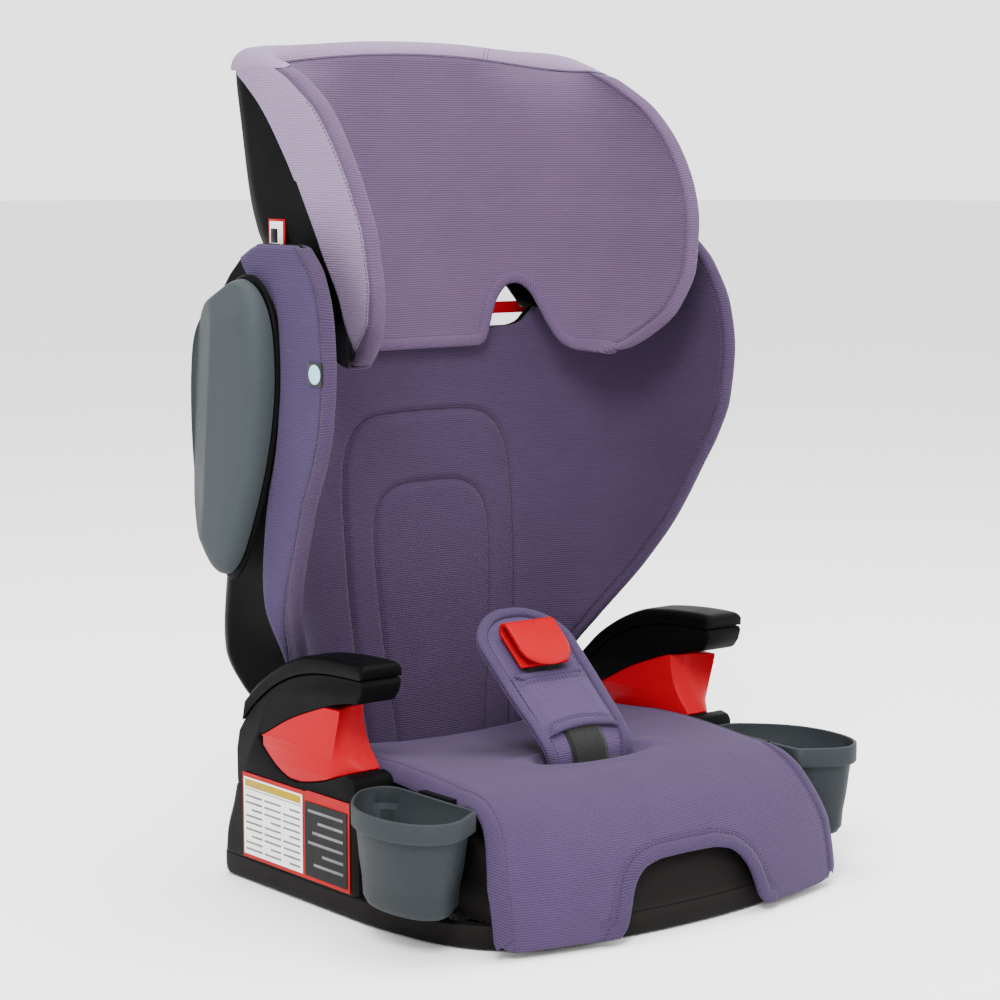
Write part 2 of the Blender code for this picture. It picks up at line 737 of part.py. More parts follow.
def seat_line(depth, x, count):
    """Side profile of the seat pad at station x, a given depth under its surface."""
    line = offset_line(list(SEAT_TOP), -depth)[:count]
    bulge = (abs(x) / SEAT_HALF_W) ** 2.2
    result = []
    for y, z in line:
        sweep = FRONT_SWEEP * bulge * clamp((-y - 0.080) / 0.090)
        lift = SEAT_LIFT * bulge * clamp((y + 0.060) / 0.120)
        flare = 1 + SEAT_FLARE * clamp((0.116 - z) / 0.060)
        if y > -0.07:
            flare = 1
        result.append((x * flare, y + sweep, z + lift))
    return result


def seat_stations():
    return (-0.168, -0.160, -0.145, -0.115, -0.080, -0.040, 0.0, 0.040, 0.080, 0.115, 0.145,
            0.160, 0.168)


def seat_cover():
    """Seat cover draped over the front of the base, with an arch cut at the front."""
    levels = []
    for x in seat_stations():
        levels.append((seat_line(0.0, x, 11), seat_line(0.006, x, 11)))
    obj = band_loft("seat_cover", levels, seat_fabric())
    arch = [(-0.078, -0.01), (0.078, -0.01), (0.076, 0.012), (0.066, 0.040), (0.050, 0.054),
            (0.020, 0.060), (-0.020, 0.060), (-0.050, 0.054), (-0.066, 0.040), (-0.076, 0.012)]
    cut(obj, prism("cut_front_arch", arch, 'Y', -0.22, -0.11, None, cutter=True))
    slot = block("cut_cover_slot", (-0.046, -0.052, 0.09), (0.046, -0.018, 0.14), None, cutter=True)
    soften(slot, 0.010, 3)
    return cut(obj, slot)


def seat_foam():
    """Foam pad between the seat cover and the deck."""
    levels = []
    for x in seat_stations()[1:-1]:
        line = seat_line(0.0078, x, 7)
        flat = [(p[0], p[1], DECK_Z + 0.0006) for p in line]
        levels.append((line, flat))
    obj = band_loft("seat_foam", levels, foam_grey())
    slot = block("cut_foam_slot", (-0.046, -0.052, 0.07), (0.046, -0.018, 0.14), None, cutter=True)
    return cut(obj, slot)


# --------------------------------------------------------------- cup holders
CUP_OUTLINE = ((0.1755, -0.132), (0.1755, 0.003), (0.1815, 0.0095), (0.1960, 0.0105),
               (0.2085, 0.0090), (0.2180, 0.0015), (0.2300, -0.0120), (0.2405, -0.0250),
               (0.2460, -0.0400), (0.2470, -0.0560), (0.2440, -0.0710), (0.2350, -0.0860),
               (0.2200, -0.1050), (0.2080, -0.1200), (0.1980, -0.1310), (0.1890, -0.1370),
               (0.1810, -0.1380))


def cup_plan(inset, sign):
    """D-shaped plan of a cup holder, shrunk by an inset on every side."""
    mid_x = (CUP_FLAT_X + CUP_OUT_X) / 2
    mid_y = (CUP_REAR_Y + CUP_FRONT_Y) / 2
    scale_x = 1 - 2 * inset / (CUP_OUT_X - CUP_FLAT_X)
    scale_y = 1 - 2 * inset / (CUP_REAR_Y - CUP_FRONT_Y)
    return [(sign * (mid_x + (x - mid_x) * scale_x), mid_y + (y - mid_y) * scale_y)
            for x, y in CUP_OUTLINE]


def cup_holder(side):
    """Cup holder with a rim band and tapered walls, lifting out upward."""
    sign = -1 if side == "left" else 1
    rim_low = CUP_RIM_Z - CUP_RIM_BAND
    rows = ((0.0120, CUP_FLOOR_Z), (0.0095, CUP_FLOOR_Z + 0.003), (0.0045, rim_low),
            (0.0005, rim_low + 0.0008), (0.0, rim_low + 0.003), (0.0, CUP_RIM_Z - 0.001),
            (0.0010, CUP_RIM_Z), (0.0022, CUP_RIM_Z), (0.0030, CUP_RIM_Z - 0.001),
            (0.0034, rim_low + 0.004), (0.0075, rim_low), (0.0118, CUP_FLOOR_Z + 0.005),
            (0.0150, CUP_FLOOR_Z + 0.003))
    rings = [at_height(cup_plan(inset, sign), z) for inset, z in rows]
    return loft("cup_holder_" + side, rings, slate_plastic())


def cup_bracket(side):
    """Bracket on the base that the cup holder rests and slides on."""
    sign = -1 if side == "left" else 1
    outline = [(0.1688, 0.060), (0.1752, 0.060), (0.1752, 0.1140), (0.1688, 0.1140)]
    outline = [(sign * x, z) for x, z in outline]
    return prism("cup_bracket_" + side, outline, 'Y', -0.0720, -0.0300, black_plastic())


# ---------------------------------------------------------------- clip strap
STRAP_LINE = ((-0.0355, 0.0840), (-0.0355, 0.1020), (-0.0385, 0.1180), (-0.0385, 0.1340),
              (-0.0290, 0.1490), (-0.0160, 0.1650), (0.0030, 0.1860), (0.0200, 0.2055),
              (0.0370, 0.2225), (0.0500, 0.2300), (0.0580, 0.2320))


def strap_band(low, high, start, end, widths):
    """Levels of a flat strip that follows the strap line between two depths."""
    front = offset_line(list(STRAP_LINE), -low)
    rear = offset_line(list(STRAP_LINE), -high)
    levels = []
    for i in range(start, end):
        half = widths[i]
        levels.append([(-half, front[i][0], front[i][1]), (half, front[i][0], front[i][1]),
                       (half, rear[i][0], rear[i][1]), (-half, rear[i][0], rear[i][1])])
    return levels


def strap_pieces():
    """Webbing, pad and sleeve of the crotch clip strap."""
    wide = (0.030, 0.0375, 0.0380, 0.0385, 0.039, 0.0385, 0.0375, 0.0365, 0.0330, 0.0240, 0.0130)
    web = tuple(0.019 for _ in wide)
    sleeve = tuple(w - 0.001 for w in wide)
    soften(loft("strap_pad", strap_band(-0.008, -0.0003, 1, 11, wide), strap_fabric()),
           0.0022, 2, 50)
    loft("strap_webbing", strap_band(0.0002, 0.0018, 0, 8, web), webbing_black())
    soften(loft("strap_sleeve", strap_band(0.0022, 0.0048, 4, 7, sleeve), strap_fabric()),
           0.0008, 1, 50)


CLIP_AT = (0.0275, 0.2115)       # (y, z) of the clip on the strap line
CLIP_SLOPE = 45.0                # degrees above horizontal along the strap


def clip_point(along, out):
    """Point of the clip outline: along the strap, then out from its face."""
    angle = math.radians(CLIP_SLOPE)
    y = CLIP_AT[0] + along * math.cos(angle) - out * math.sin(angle)
    z = CLIP_AT[1] + along * math.sin(angle) + out * math.cos(angle)
    return (y, z)


def belt_clip():
    """Folded red hook that takes the lap belt; its slot opens toward the seat."""
    shape = [(-0.022, 0.0036), (0.016, 0.0036), (0.0215, 0.0055), (0.0235, 0.0100),
             (0.0215, 0.0150), (0.016, 0.0172), (-0.024, 0.0172), (-0.0265, 0.0158),
             (-0.024, 0.0142), (0.014, 0.0130), (0.0175, 0.0115), (0.0180, 0.0100),
             (0.0172, 0.0082), (0.014, 0.0066), (-0.022, 0.0062)]
    outline = [clip_point(a, o) for a, o in shape]
    obj = prism("belt_clip", outline, 'X', -0.0235, 0.0235, red_plastic())
    return soften(obj, 0.0010, 2, 40)


# ------------------------------------------------------------------ backrest
def top_cut_outline():
    """XZ region above the top edge of the back: low in the middle, high wings."""
    half = [(0.0, 0.466), (0.108, 0.466), (0.118, 0.474), (0.130, 0.489), (0.150, 0.501),
            (0.175, 0.522), (0.195, 0.543), (0.205, 0.560)]
    line = both_sides(half)
    return line + [(0.205, 0.62), (-0.205, 0.62)]


def rear_top_outline():
    """YZ region behind and above the sloping rear top corner of the wings."""
    return [(0.146, 0.5600), (0.150, 0.5450), (0.168, 0.5360), (0.184, 0.5220),
            (0.205, 0.4950), (0.260, 0.4400), (0.300, 0.4400), (0.300, 0.5600)]


def trim_back_top(obj, tag):
    """Cut the two top contours of the back."""
    cut(obj, prism("cut_back_top_" + tag, top_cut_outline(), 'Y', -0.05, 0.30, None, cutter=True))
    cut(obj, prism("cut_wing_rear_" + tag, rear_top_outline(), 'X', -0.30, 0.30, None,
                   cutter=True))
    return obj


def back_cover():
    """Padded cover: front face, round the wing noses and onto the outside."""
    levels = [cover_band(back_plan(z), z, blend_rows(BACK_WRAP, z)[0], FABRIC)
              for z in BACK_LEVELS]
    return trim_back_top(band_loft("back_cover", levels, purple_fabric()), "cover")


def back_foam():
    """Foam liner between the cover and the shell."""
    levels = []
    near = FABRIC + 0.0007
    far = depth_profile(FABRIC + 0.0016, FABRIC + 0.0040)
    for z in BACK_LEVELS:
        front = back_plan(z)[0]
        count = FRONT_COUNT - 2
        outer = offset_line(front, -near)[:count]
        inner = offset_line(front, [-d for d in far])[:count]
        outer[0] = (0.0, front[0][1] + near)
        inner[0] = (0.0, front[0][1] + far[0])
        levels.append((at_height(both_sides(outer), z), at_height(both_sides(inner), z)))
    return trim_back_top(band_loft("back_foam", levels, foam_grey()), "foam")


def back_shell():
    """Moulded shell: curved front wall, rounded wing noses, outer skirts with flanges."""
    levels = []
    near = depth_profile(FABRIC + 0.0024, FABRIC + 0.0048)
    for z in BACK_LEVELS:
        front, nose, turn = back_plan(z)
        half = front + nose + turn
        flange = (max(turn[-1][0] - 0.020, 0.04), turn[-1][1])
        half = half + [flange]
        extra = len(half) - FRONT_COUNT
        skin = near + [FABRIC + 0.0016] * extra
        outer = offset_line(half, [-d for d in skin])
        inner = offset_line(half, [-(d + WALL - 0.0005) for d in skin])
        outer[0] = (0.0, front[0][1] + skin[0])
        inner[0] = (0.0, front[0][1] + skin[0] + WALL - 0.0005)
        levels.append((at_height(both_sides(outer), z), at_height(both_sides(inner), z)))
    return trim_back_top(band_loft("back_shell", levels, black_plastic()), "shell")


# outline (y, z) of the side pod, clockwise from its lowest point
POD_OUTLINE = ((0.167, 0.2720), (0.187, 0.2900), (0.203, 0.3150), (0.212, 0.3400),
               (0.2175, 0.3900), (0.2170, 0.4400), (0.210, 0.4730), (0.189, 0.4960),
               (0.160, 0.5120), (0.135, 0.5205), (0.113, 0.5110), (0.098, 0.4870),
               (0.093, 0.4500), (0.096, 0.4120), (0.107, 0.3680), (0.126, 0.3210),
               (0.147, 0.2830))


def pod_ring(scale, x, sign):
    """One ring of the pod, scaled about its ridge."""
    centre = (0.148, 0.420)
    return [(sign * x, centre[0] + (y - centre[0]) * scale, centre[1] + (z - centre[1]) * scale)
            for y, z in POD_OUTLINE]


def side_pod(side):
    """Side-impact pod on the outside of a wing, domed to a blunt ridge."""
    sign = -1 if side == "left" else 1
    rings = [pod_ring(0.985, 0.2272, sign), pod_ring(1.0, 0.2300, sign),
             pod_ring(0.96, 0.2370, sign), pod_ring(0.82, 0.2450, sign),
             pod_ring(0.55, 0.2500, sign), pod_ring(0.25, 0.2515, sign)]
    return loft("side_pod_" + side, rings, slate_plastic())


def pod_gasket(side):
    """Black seat between the pod and the shell."""
    sign = -1 if side == "left" else 1
    rings = [pod_ring(1.03, 0.2228, sign), pod_ring(1.03, 0.2268, sign)]
    return loft("pod_gasket_" + side, rings, black_plastic())


def leaned_bar(name, outline, low, high, mat, cutter=False):
    """Bar along the slope of the back, from a plan outline given at zero lean."""
    rings = [[(x, y + lean(z), z) for x, y in outline] for z in (low, high)]
    return loft(name, rings, mat, cutter)


def rectangle(half_w, near, far):
    """Plan rectangle centred on X = 0."""
    return [(-half_w, near), (half_w, near), (half_w, far), (-half_w, far)]


def guide_rail(side):
    """L-shaped rail behind the back that captures the headrest carriage."""
    sign = -1 if side == "left" else 1
    y = BACK_REAR
    shape = [(0.0530, y), (0.0600, y), (0.0600, y + 0.0140), (0.0450, y + 0.0140),
             (0.0450, y + 0.0105), (0.0530, y + 0.0105)]
    return leaned_bar("guide_rail_" + side, [(sign * px, py) for px, py in shape], 0.240, 0.455,
                      black_plastic())


def height_rack():
    """Toothed rack on the back that the lock bar drops into."""
    y = BACK_REAR
    tip = y + RACK_DEPTH
    floor = y + RACK_FLOOR
    teeth = [(y, RACK_Z - 0.012), (tip, RACK_Z - 0.012)]
    for step in range(RACK_STEPS):
        z = RACK_Z + RACK_PITCH * step
        teeth += [(tip, z), (floor, z + 0.0010), (floor, z + 0.0090), (tip, z + 0.0100)]
    teeth += [(tip, 0.424), (y, 0.424)]
    outline = [(py + lean(pz), pz) for py, pz in teeth]
    return prism("height_rack", outline, 'X', -0.0080, 0.0080, black_plastic())


def lock_bar():
    """Sliding bar whose tooth drops into a notch of the rack."""
    near = BACK_REAR + RACK_FLOOR + GAP
    mid = BACK_REAR + 0.0079
    far = BACK_REAR + 0.0120
    shape = [(-0.0075, near), (0.0075, near), (0.0075, mid), (0.0300, mid), (0.0300, far),
             (-0.0300, far), (-0.0300, mid), (-0.0075, mid)]
    return leaned_bar("lock_bar", shape, RACK_Z + 0.0015, RACK_Z + 0.0085, steel())


def hinge_hook(side):
    """Arm at the foot of the back, bored for the recline rod."""
    sign = -1 if side == "left" else 1
    top_y = BACK_Y + FABRIC + 0.0050 + WALL + lean(0.115)
    outline = [(top_y + 0.0010, 0.115), (top_y + 0.0010 + LEAN * 0.03, 0.145),
               (top_y + 0.014, 0.145), (top_y + 0.016, 0.105)]
    outline += arc((PIVOT_Y, PIVOT_Z), 0.0095, 20, -180, 10)
    outline += [(top_y - 0.0030, 0.0760), (top_y + 0.0002, 0.0800)]
    low, high = sorted((sign * 0.058, sign * 0.070))
    obj = prism("hinge_hook_" + side, outline, 'X', low, high, black_plastic())
    hole = rod("cut_hook_" + side, (low - 0.01, PIVOT_Y, PIVOT_Z), (high + 0.01, PIVOT_Y, PIVOT_Z),
               PIVOT_R + RUN_CLEAR, None, cutter=True)
    return cut(obj, hole)


def wing_tag():
    """Small tag sewn on the outside of the left wing."""
    return block("wing_tag", (-0.2238, 0.0300, 0.4380), (-0.2226, 0.0500, 0.4570), label_white())


# ------------------------------------------------------------------ headrest
def belt_arch_outline():
    """XZ region below the headrest hem: two belt arches between hem and lobes."""
    half = [(0.0, 0.451), (0.042, 0.451), (0.047, 0.458), (0.050, 0.474), (0.056, 0.490),
            (0.068, 0.503), (0.080, 0.5075), (0.092, 0.504), (0.104, 0.491), (0.114, 0.474),
            (0.122, 0.460), (0.134, 0.446), (0.150, 0.436), (0.200, 0.430)]
    return both_sides(half) + [(0.200, 0.38), (-0.200, 0.38)]


def trim_head_bottom(obj, tag, grow=0.0):
    """Cut the hem and belt arches into a headrest piece."""
    outline = [(x, z + grow) for x, z in belt_arch_outline()]
    tool = prism("cut_head_bottom_" + tag, outline, 'Y', 0.0, 0.30, None, cutter=True)
    return cut(obj, tool)


def headrest_cover():
    """Headrest cover: front face, round the wing noses and onto the outside."""
    levels = [cover_band(head_plan(z), z, blend_rows(HEAD_WRAP, z)[0], FABRIC)
              for z in HEAD_LEVELS]
    return trim_head_bottom(band_loft("headrest_cover", levels, mauve_fabric()), "cover")


def head_rear_half(z):
    """Half line round the outside of the headrest shell, from the centre to the side wall."""
    front, nose, turn = head_plan(z)
    wall_end = (nose[-1][0], nose[-1][1] + 0.012)
    return [(0.0, turn[-1][1])] + list(reversed(turn)) + [wall_end]


HEAD_SKIN = [0.0, 0.0, 0.0008, 0.0020, 0.0036, 0.0054, 0.0054]


def headrest_foam():
    """Foam that fills the space between the cover and the headrest shell."""
    levels = []
    near = FABRIC + 0.0010
    for z in HEAD_LEVELS[1:-1]:
        front = head_plan(z)[0]
        count = FRONT_COUNT - 1
        outer = offset_line(front, -near)[:count]
        outer[0] = (0.0, front[0][1] + near)
        depth = WALL + 0.0024 if z >= STEP_HIGH_Z else 0.0006
        line = offset_line(head_rear_half(z), [s + depth for s in HEAD_SKIN])
        line[0] = (0.0, head_rear_half(z)[0][1] - depth)
        inner = resample(line, count)
        levels.append((at_height(both_sides(outer), z), at_height(both_sides(inner), z)))
    return trim_head_bottom(band_loft("headrest_foam", levels, foam_grey()), "foam", 0.001)


def resample(line, count, share=0.94):
    """The given share of a line, with evenly spaced points."""
    lengths = [0.0]
    for a, b in zip(line, line[1:]):
        lengths.append(lengths[-1] + math.hypot(b[0] - a[0], b[1] - a[1]))
    result = []
    for i in range(count):
        want = share * lengths[-1] * i / (count - 1)
        for k in range(len(line) - 1):
            if want <= lengths[k + 1] or k == len(line) - 2:
                t = (want - lengths[k]) / max(lengths[k + 1] - lengths[k], 1e-9)
                result.append((line[k][0] + (line[k + 1][0] - line[k][0]) * t,
                               line[k][1] + (line[k + 1][1] - line[k][1]) * t))
                break
    return result


def headrest_shell():
    """Outer shell of the headrest: rear plate and side walls."""
    levels = []
    for z in [level for level in HEAD_LEVELS if level >= STEP_HIGH_Z]:
        half = head_rear_half(z)
        outer = offset_line(half, HEAD_SKIN)
        inner = offset_line(half, [s + WALL for s in HEAD_SKIN])
        outer[0] = (0.0, half[0][1])
        inner[0] = (0.0, half[0][1] - WALL)
        levels.append((at_height(both_sides(outer), z), at_height(both_sides(inner), z)))
    obj = band_loft("headrest_shell", levels, black_plastic())
    return trim_head_bottom(obj, "shell", 0.002)


def headrest_top():
    """Rolled top panel of the headrest cover, crowned from side to side."""
    seam = HEAD_LEVELS[-1]
    front, nose, turn = head_plan(seam)
    lead = front + nose
    count = len(lead)
    side_end = (nose[-1][0], nose[-1][1] + 0.004)
    tail = resample([(0.0, turn[-1][1])] + list(reversed(turn)) + [side_end], count, 1.0)
    half = lead + list(reversed(tail))
    loop = half + list(reversed(mirrored(half[1:-1])))
    levels = []
    for rise, inset in ((0.0, 0.0), (0.42, 0.0008), (0.74, 0.0030), (0.94, 0.0065), (1.0, 0.0105)):
        moved = offset_line(loop, -inset, closed=True) if inset else loop
        lines = []
        for part in (moved[:count], list(reversed(moved[count:2 * count]))):
            lifted = []
            for x, y in both_sides(part):
                crown = HEAD_TOP_Z - 0.0040 * (abs(x) / 0.1) ** 2
                z = seam + 0.0008 + rise * (crown - seam)
                lifted.append((x, y + lean(z) - lean(seam), z))
            lines.append(lifted)
        levels.append((lines[0], lines[1]))
    return band_loft("headrest_top", levels, mauve_fabric())


def headrest_carriage():
    """Plate behind the back that carries the headrest and runs in the rails."""
    y = BACK_REAR + 0.0015
    obj = leaned_bar("headrest_carriage", rectangle(0.0525, y, y + 0.0060), 0.250, 0.560,
                     black_plastic())
    slot = block("cut_carriage_slot", (-0.0095, 0.15, 0.24), (0.0095, 0.30, 0.458), None,
                 cutter=True)
    return cut(obj, slot)


def handle_housing():
    """Frame on the rear of the headrest in which the release handle slides."""
    y = HEAD_REAR + 0.0004
    obj = leaned_bar("handle_housing", rectangle(0.054, y, y + 0.0135), HANDLE_Z - 0.010,
                     HANDLE_Z + 0.058, slate_plastic())
    soften(obj, 0.003, 2)
    pocket = leaned_bar("cut_handle_pocket", rectangle(0.0445, y + 0.0025, y + 0.03), HANDLE_Z - 0.002,
                        HANDLE_Z + 0.050, None, cutter=True)
    cut(obj, pocket)
    return cut(obj, leaned_bar("cut_link_slot", rectangle(0.0060, y + 0.0025, y + 0.03),
                               HANDLE_Z - 0.03, HANDLE_Z, None, cutter=True))


def release_handle():
    """Squeeze handle that is pulled up to free the headrest."""
    y = HEAD_REAR + 0.0034
    obj = leaned_bar("release_handle", rectangle(0.0435, y, y + 0.0090), HANDLE_Z,
                     HANDLE_Z + 0.036, red_plastic())
    soften(obj, 0.0022, 2)
    grip = leaned_bar("cut_grip", rectangle(0.030, y + 0.0035, y + 0.03), HANDLE_Z + 0.009,
                      HANDLE_Z + 0.024, None, cutter=True)
    return cut(obj, grip)


def release_link():
    """Flat pull rod from the handle down to the lock bar."""
    y = BACK_REAR + 0.0104
    return leaned_bar("release_link", rectangle(0.0035, y, y + 0.0016), RACK_Z + 0.0095,
                      HANDLE_Z - GAP, steel())


def headrest_label():
    """Small sticker on the left side of the headrest shell."""
    x = -0.1880
    outline = [(0.1680, 0.5460), (0.1800, 0.5460), (0.1800, 0.5640), (0.1680, 0.5640)]
    return prism("headrest_label", outline, 'X', x - 0.0008, x, label_white())


def shoulder_guide(side):
    """Red shoulder-belt guide bar that bridges a belt arch behind the headrest."""
    sign = -1 if side == "left" else 1
    y = HEAD_REAR + 0.0012
    shape = [(0.0560, y), (0.0560, y + 0.0070), (0.0640, y + 0.0110), (0.1480, y + 0.0050),
             (0.1500, y + 0.0020), (0.1440, y + 0.0010), (0.0680, y + 0.0060), (0.0660, y)]
    rings = []
    for z in (0.4760, 0.4865):
        rings.append([(sign * px, py + lean(z), z) for px, py in shape])
    return loft("shoulder_guide_" + side, rings, red_plastic())


for make in (base_upper_shell, base_notch_tray, base_lower_shell, feet, base_screws,
             pivot_hardware, strap_anchor, side_label, seat_cover, seat_foam, strap_pieces,
             belt_clip, back_cover, back_foam, back_shell, height_rack, wing_tag, headrest_cover,
             headrest_foam, headrest_shell, headrest_top, headrest_carriage, handle_housing,
             release_handle, release_link, lock_bar, headrest_label):
    make()
for make in (armrest_body, armrest_cap, belt_guide, cup_holder, cup_bracket, side_pod, pod_gasket,
             guide_rail, hinge_hook, shoulder_guide):
    for side_name in ("left", "right"):
        make(side_name)

# origin of every moving piece: a point on the axis it turns about or slides along
SLIDE_Y = BACK_REAR + lean(RACK_Z)
MOVING = (
    ((0.0, PIVOT_Y, PIVOT_Z), (
        "back_cover", "back_foam", "back_shell", "side_pod_left", "side_pod_right",
        "pod_gasket_left", "pod_gasket_right", "guide_rail_left", "guide_rail_right",
        "height_rack", "hinge_hook_left", "hinge_hook_right", "wing_tag")),
    ((0.0, SLIDE_Y, RACK_Z), (
        "headrest_cover", "headrest_foam", "headrest_shell", "headrest_top",
        "headrest_carriage", "handle_housing", "headrest_label", "shoulder_guide_left",
        "shoulder_guide_right", "release_handle", "release_link", "lock_bar")),
    (STRAP_PIVOT, ("strap_pad", "strap_webbing", "strap_sleeve", "belt_clip")),
    ((-0.211, -0.064, CUP_FLOOR_Z), ("cup_holder_left",)),
    ((0.211, -0.064, CUP_FLOOR_Z), ("cup_holder_right",)),
)
for origin, names in MOVING:
    for piece in names:
        hang_from(bpy.data.objects[piece], origin)
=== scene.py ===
"""High-back booster seat: the visual model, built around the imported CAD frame.

Metres, +Z up, the seat faces -Y.  "left" is the -X side.  Every cover is a curved
sheet described by two lengths: s across it (0 on the middle plane) and t up it.
"""
import math

import bmesh
import bpy
import numpy as np
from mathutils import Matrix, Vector


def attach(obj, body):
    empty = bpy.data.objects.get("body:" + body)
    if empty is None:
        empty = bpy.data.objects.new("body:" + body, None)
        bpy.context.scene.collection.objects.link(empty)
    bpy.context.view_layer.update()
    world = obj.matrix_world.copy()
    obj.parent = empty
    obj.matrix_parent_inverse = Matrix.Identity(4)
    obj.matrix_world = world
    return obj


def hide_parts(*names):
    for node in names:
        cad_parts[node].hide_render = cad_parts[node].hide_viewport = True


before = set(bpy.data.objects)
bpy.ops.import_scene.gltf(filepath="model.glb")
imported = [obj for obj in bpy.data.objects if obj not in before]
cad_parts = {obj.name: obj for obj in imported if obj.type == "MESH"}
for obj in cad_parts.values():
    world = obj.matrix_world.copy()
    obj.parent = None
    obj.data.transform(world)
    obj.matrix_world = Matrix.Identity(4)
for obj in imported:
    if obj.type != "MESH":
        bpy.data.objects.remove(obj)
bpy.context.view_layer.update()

LEAN = 0.08                  # rearward lean of the back, metres per metre of height
LEAN_Z = 0.30
GAP = 0.0004
FABRIC = 0.004               # padded cover thickness
WALL = 0.003
STEP = 0.0018                # spacing of the fabric meshes
NO_SEAM = 0.02               # stands for "no seam near" in the seam distances
SIDES = (("left", -1), ("right", 1))


# ================================================================ small helpers
def lean(z):
    """Rearward shift of the back and headrest at height z."""
    return LEAN * (z - LEAN_Z)


def ease(value):
    """Smooth step from 0 to 1, for numbers and arrays."""
    t = np.clip(value, 0.0, 1.0)
    return t * t * (3 - 2 * t)


def smooth_rows(rows, at):
    """Monotone cubic interpolation in rows whose first entry is the position."""
    table = np.array(rows, float)
    place = table[:, 0]
    value = table[:, 1:]
    width = np.diff(place)[:, None]
    slope = np.diff(value, axis=0) / width
    tangent = np.zeros_like(value)
    tangent[0] = slope[0]
    tangent[-1] = slope[-1]
    before = slope[:-1]
    after = slope[1:]
    same = before * after > 0
    total = np.where(same, before + after, 1.0)
    tangent[1:-1] = np.where(same, 2 * before * after / total, 0.0)
    at = np.atleast_1d(np.asarray(at, float))
    k = np.clip(np.searchsorted(place, at) - 1, 0, len(place) - 2)
    h = width[k]
    t = np.clip((at - place[k])[:, None] / h, 0.0, 1.0)
    return ((2 * t ** 3 - 3 * t ** 2 + 1) * value[k] + (t ** 3 - 2 * t ** 2 + t) * h * tangent[k]
            + (3 * t ** 2 - 2 * t ** 3) * value[k + 1] + (t ** 3 - t ** 2) * h * tangent[k + 1])


def lengths(line):
    """Length along a polyline at each of its points."""
    return np.concatenate(([0], np.cumsum(np.linalg.norm(np.diff(line, axis=0), axis=1))))


def points_at(line, want):
    """Points of a polyline at given lengths along it."""
    size = lengths(line)
    return np.stack([np.interp(want, size, line[:, k]) for k in range(line.shape[1])], axis=1)


def unit(vectors):
    """Vectors of length one."""
    return vectors / np.maximum(np.linalg.norm(vectors, axis=-1, keepdims=True), 1e-9)


def smooth_loop(points, count, closed=True):
    """Resample a line through the points with a Catmull-Rom curve, evenly spaced."""
    pts = np.array(points, float)
    if closed:
        pts = np.vstack([pts[-1:], pts, pts[:2]])
    else:
        pts = np.vstack([2 * pts[0] - pts[1], pts, 2 * pts[-1] - pts[-2]])
    dense = []
    for a, b, c, d in zip(pts, pts[1:], pts[2:], pts[3:]):
        for t in np.linspace(0, 1, 12, endpoint=False):
            dense.append(0.5 * (2 * b + (c - a) * t + (2 * a - 5 * b + 4 * c - d) * t * t
                                + (3 * b - a - 3 * c + d) * t ** 3))
    dense = np.array(dense + [pts[-2]])
    return points_at(dense, np.linspace(0, lengths(dense)[-1], count, endpoint=not closed))


def arc(centre, radius, start, end, steps):
    """Points on a circular arc, angles in degrees."""
    angles = np.radians(np.linspace(start, end, steps + 1))
    return [(centre[0] + radius * math.cos(a), centre[1] + radius * math.sin(a)) for a in angles]


def offset_line(points, distance, closed=False):
    """Shift a plane line to the right of its direction by a distance (one or per point)."""
    pts = np.array(points, float)
    if closed:
        ahead = np.roll(pts, -1, axis=0) - pts
        behind = pts - np.roll(pts, 1, axis=0)
    else:
        ahead = np.diff(pts, axis=0, append=[2 * pts[-1] - pts[-2]])
        behind = np.diff(pts, axis=0, prepend=[2 * pts[0] - pts[1]])
    ahead = unit(ahead)
    mean = unit(ahead + unit(behind))
    cosine = np.maximum((mean * ahead).sum(1), 0.6)
    normal = np.stack([mean[:, 1], -mean[:, 0]], axis=1)
    return pts + normal * (np.asarray(distance) / cosine)[:, None]


def both_sides(half):
    """Full closed outline from a half outline that starts and ends on X = 0."""
    half = [tuple(p) for p in half]
    return half + [(-p[0],) + p[1:] for p in reversed(half[1:-1])]


# ================================================================== mesh makers
def add_object(name, mesh, mat):
    """Link a mesh object with one material."""
    obj = bpy.data.objects.new(name, mesh)
    bpy.context.scene.collection.objects.link(obj)
    mesh.materials.clear()
    mesh.materials.append(mat)
    return obj


def solid(name, verts, faces, mat, sharp=38, merge=True):
    """Closed mesh with outward normals, smooth except at sharp edges."""
    mesh = bpy.data.meshes.new(name)
    mesh.from_pydata([tuple(map(float, v)) for v in verts], [], faces)
    bm = bmesh.new()
    bm.from_mesh(mesh)
    if merge:
        bmesh.ops.remove_doubles(bm, verts=bm.verts, dist=1e-6)
    bmesh.ops.recalc_face_normals(bm, faces=bm.faces)
    bm.to_mesh(mesh)
    bm.free()
    shade(mesh, sharp)
    return add_object(name, mesh, mat)


def shade(mesh, sharp):
    """Smooth shading with sharp edges above an angle in degrees."""
    mesh.polygons.foreach_set("use_smooth", [True] * len(mesh.polygons))
    mesh.set_sharp_from_angle(angle=math.radians(sharp))


def loft(name, rings, mat, sharp=38):
    """Closed body through rings of equal point count, capped at both ends."""
    count = len(rings[0])
    verts = [p for ring in rings for p in ring]
    faces = [tuple(range(count)), tuple(range(len(verts) - count, len(verts)))]
    return solid(name, verts, faces + grid_faces(len(rings), count, wrap=True), mat, sharp)


def prism(name, outline, axis, low, high, mat, sharp=38):
    """A plane outline extruded along X, Y or Z ((y, z), (x, z) or (x, y) points)."""
    place = {'X': lambda a, b, c: (c, a, b), 'Y': lambda a, b, c: (a, c, b),
             'Z': lambda a, b, c: (a, b, c)}[axis]
    rings = [[place(p[0], p[1], c) for p in outline] for c in (low, high)]
    return loft(name, rings, mat, sharp)


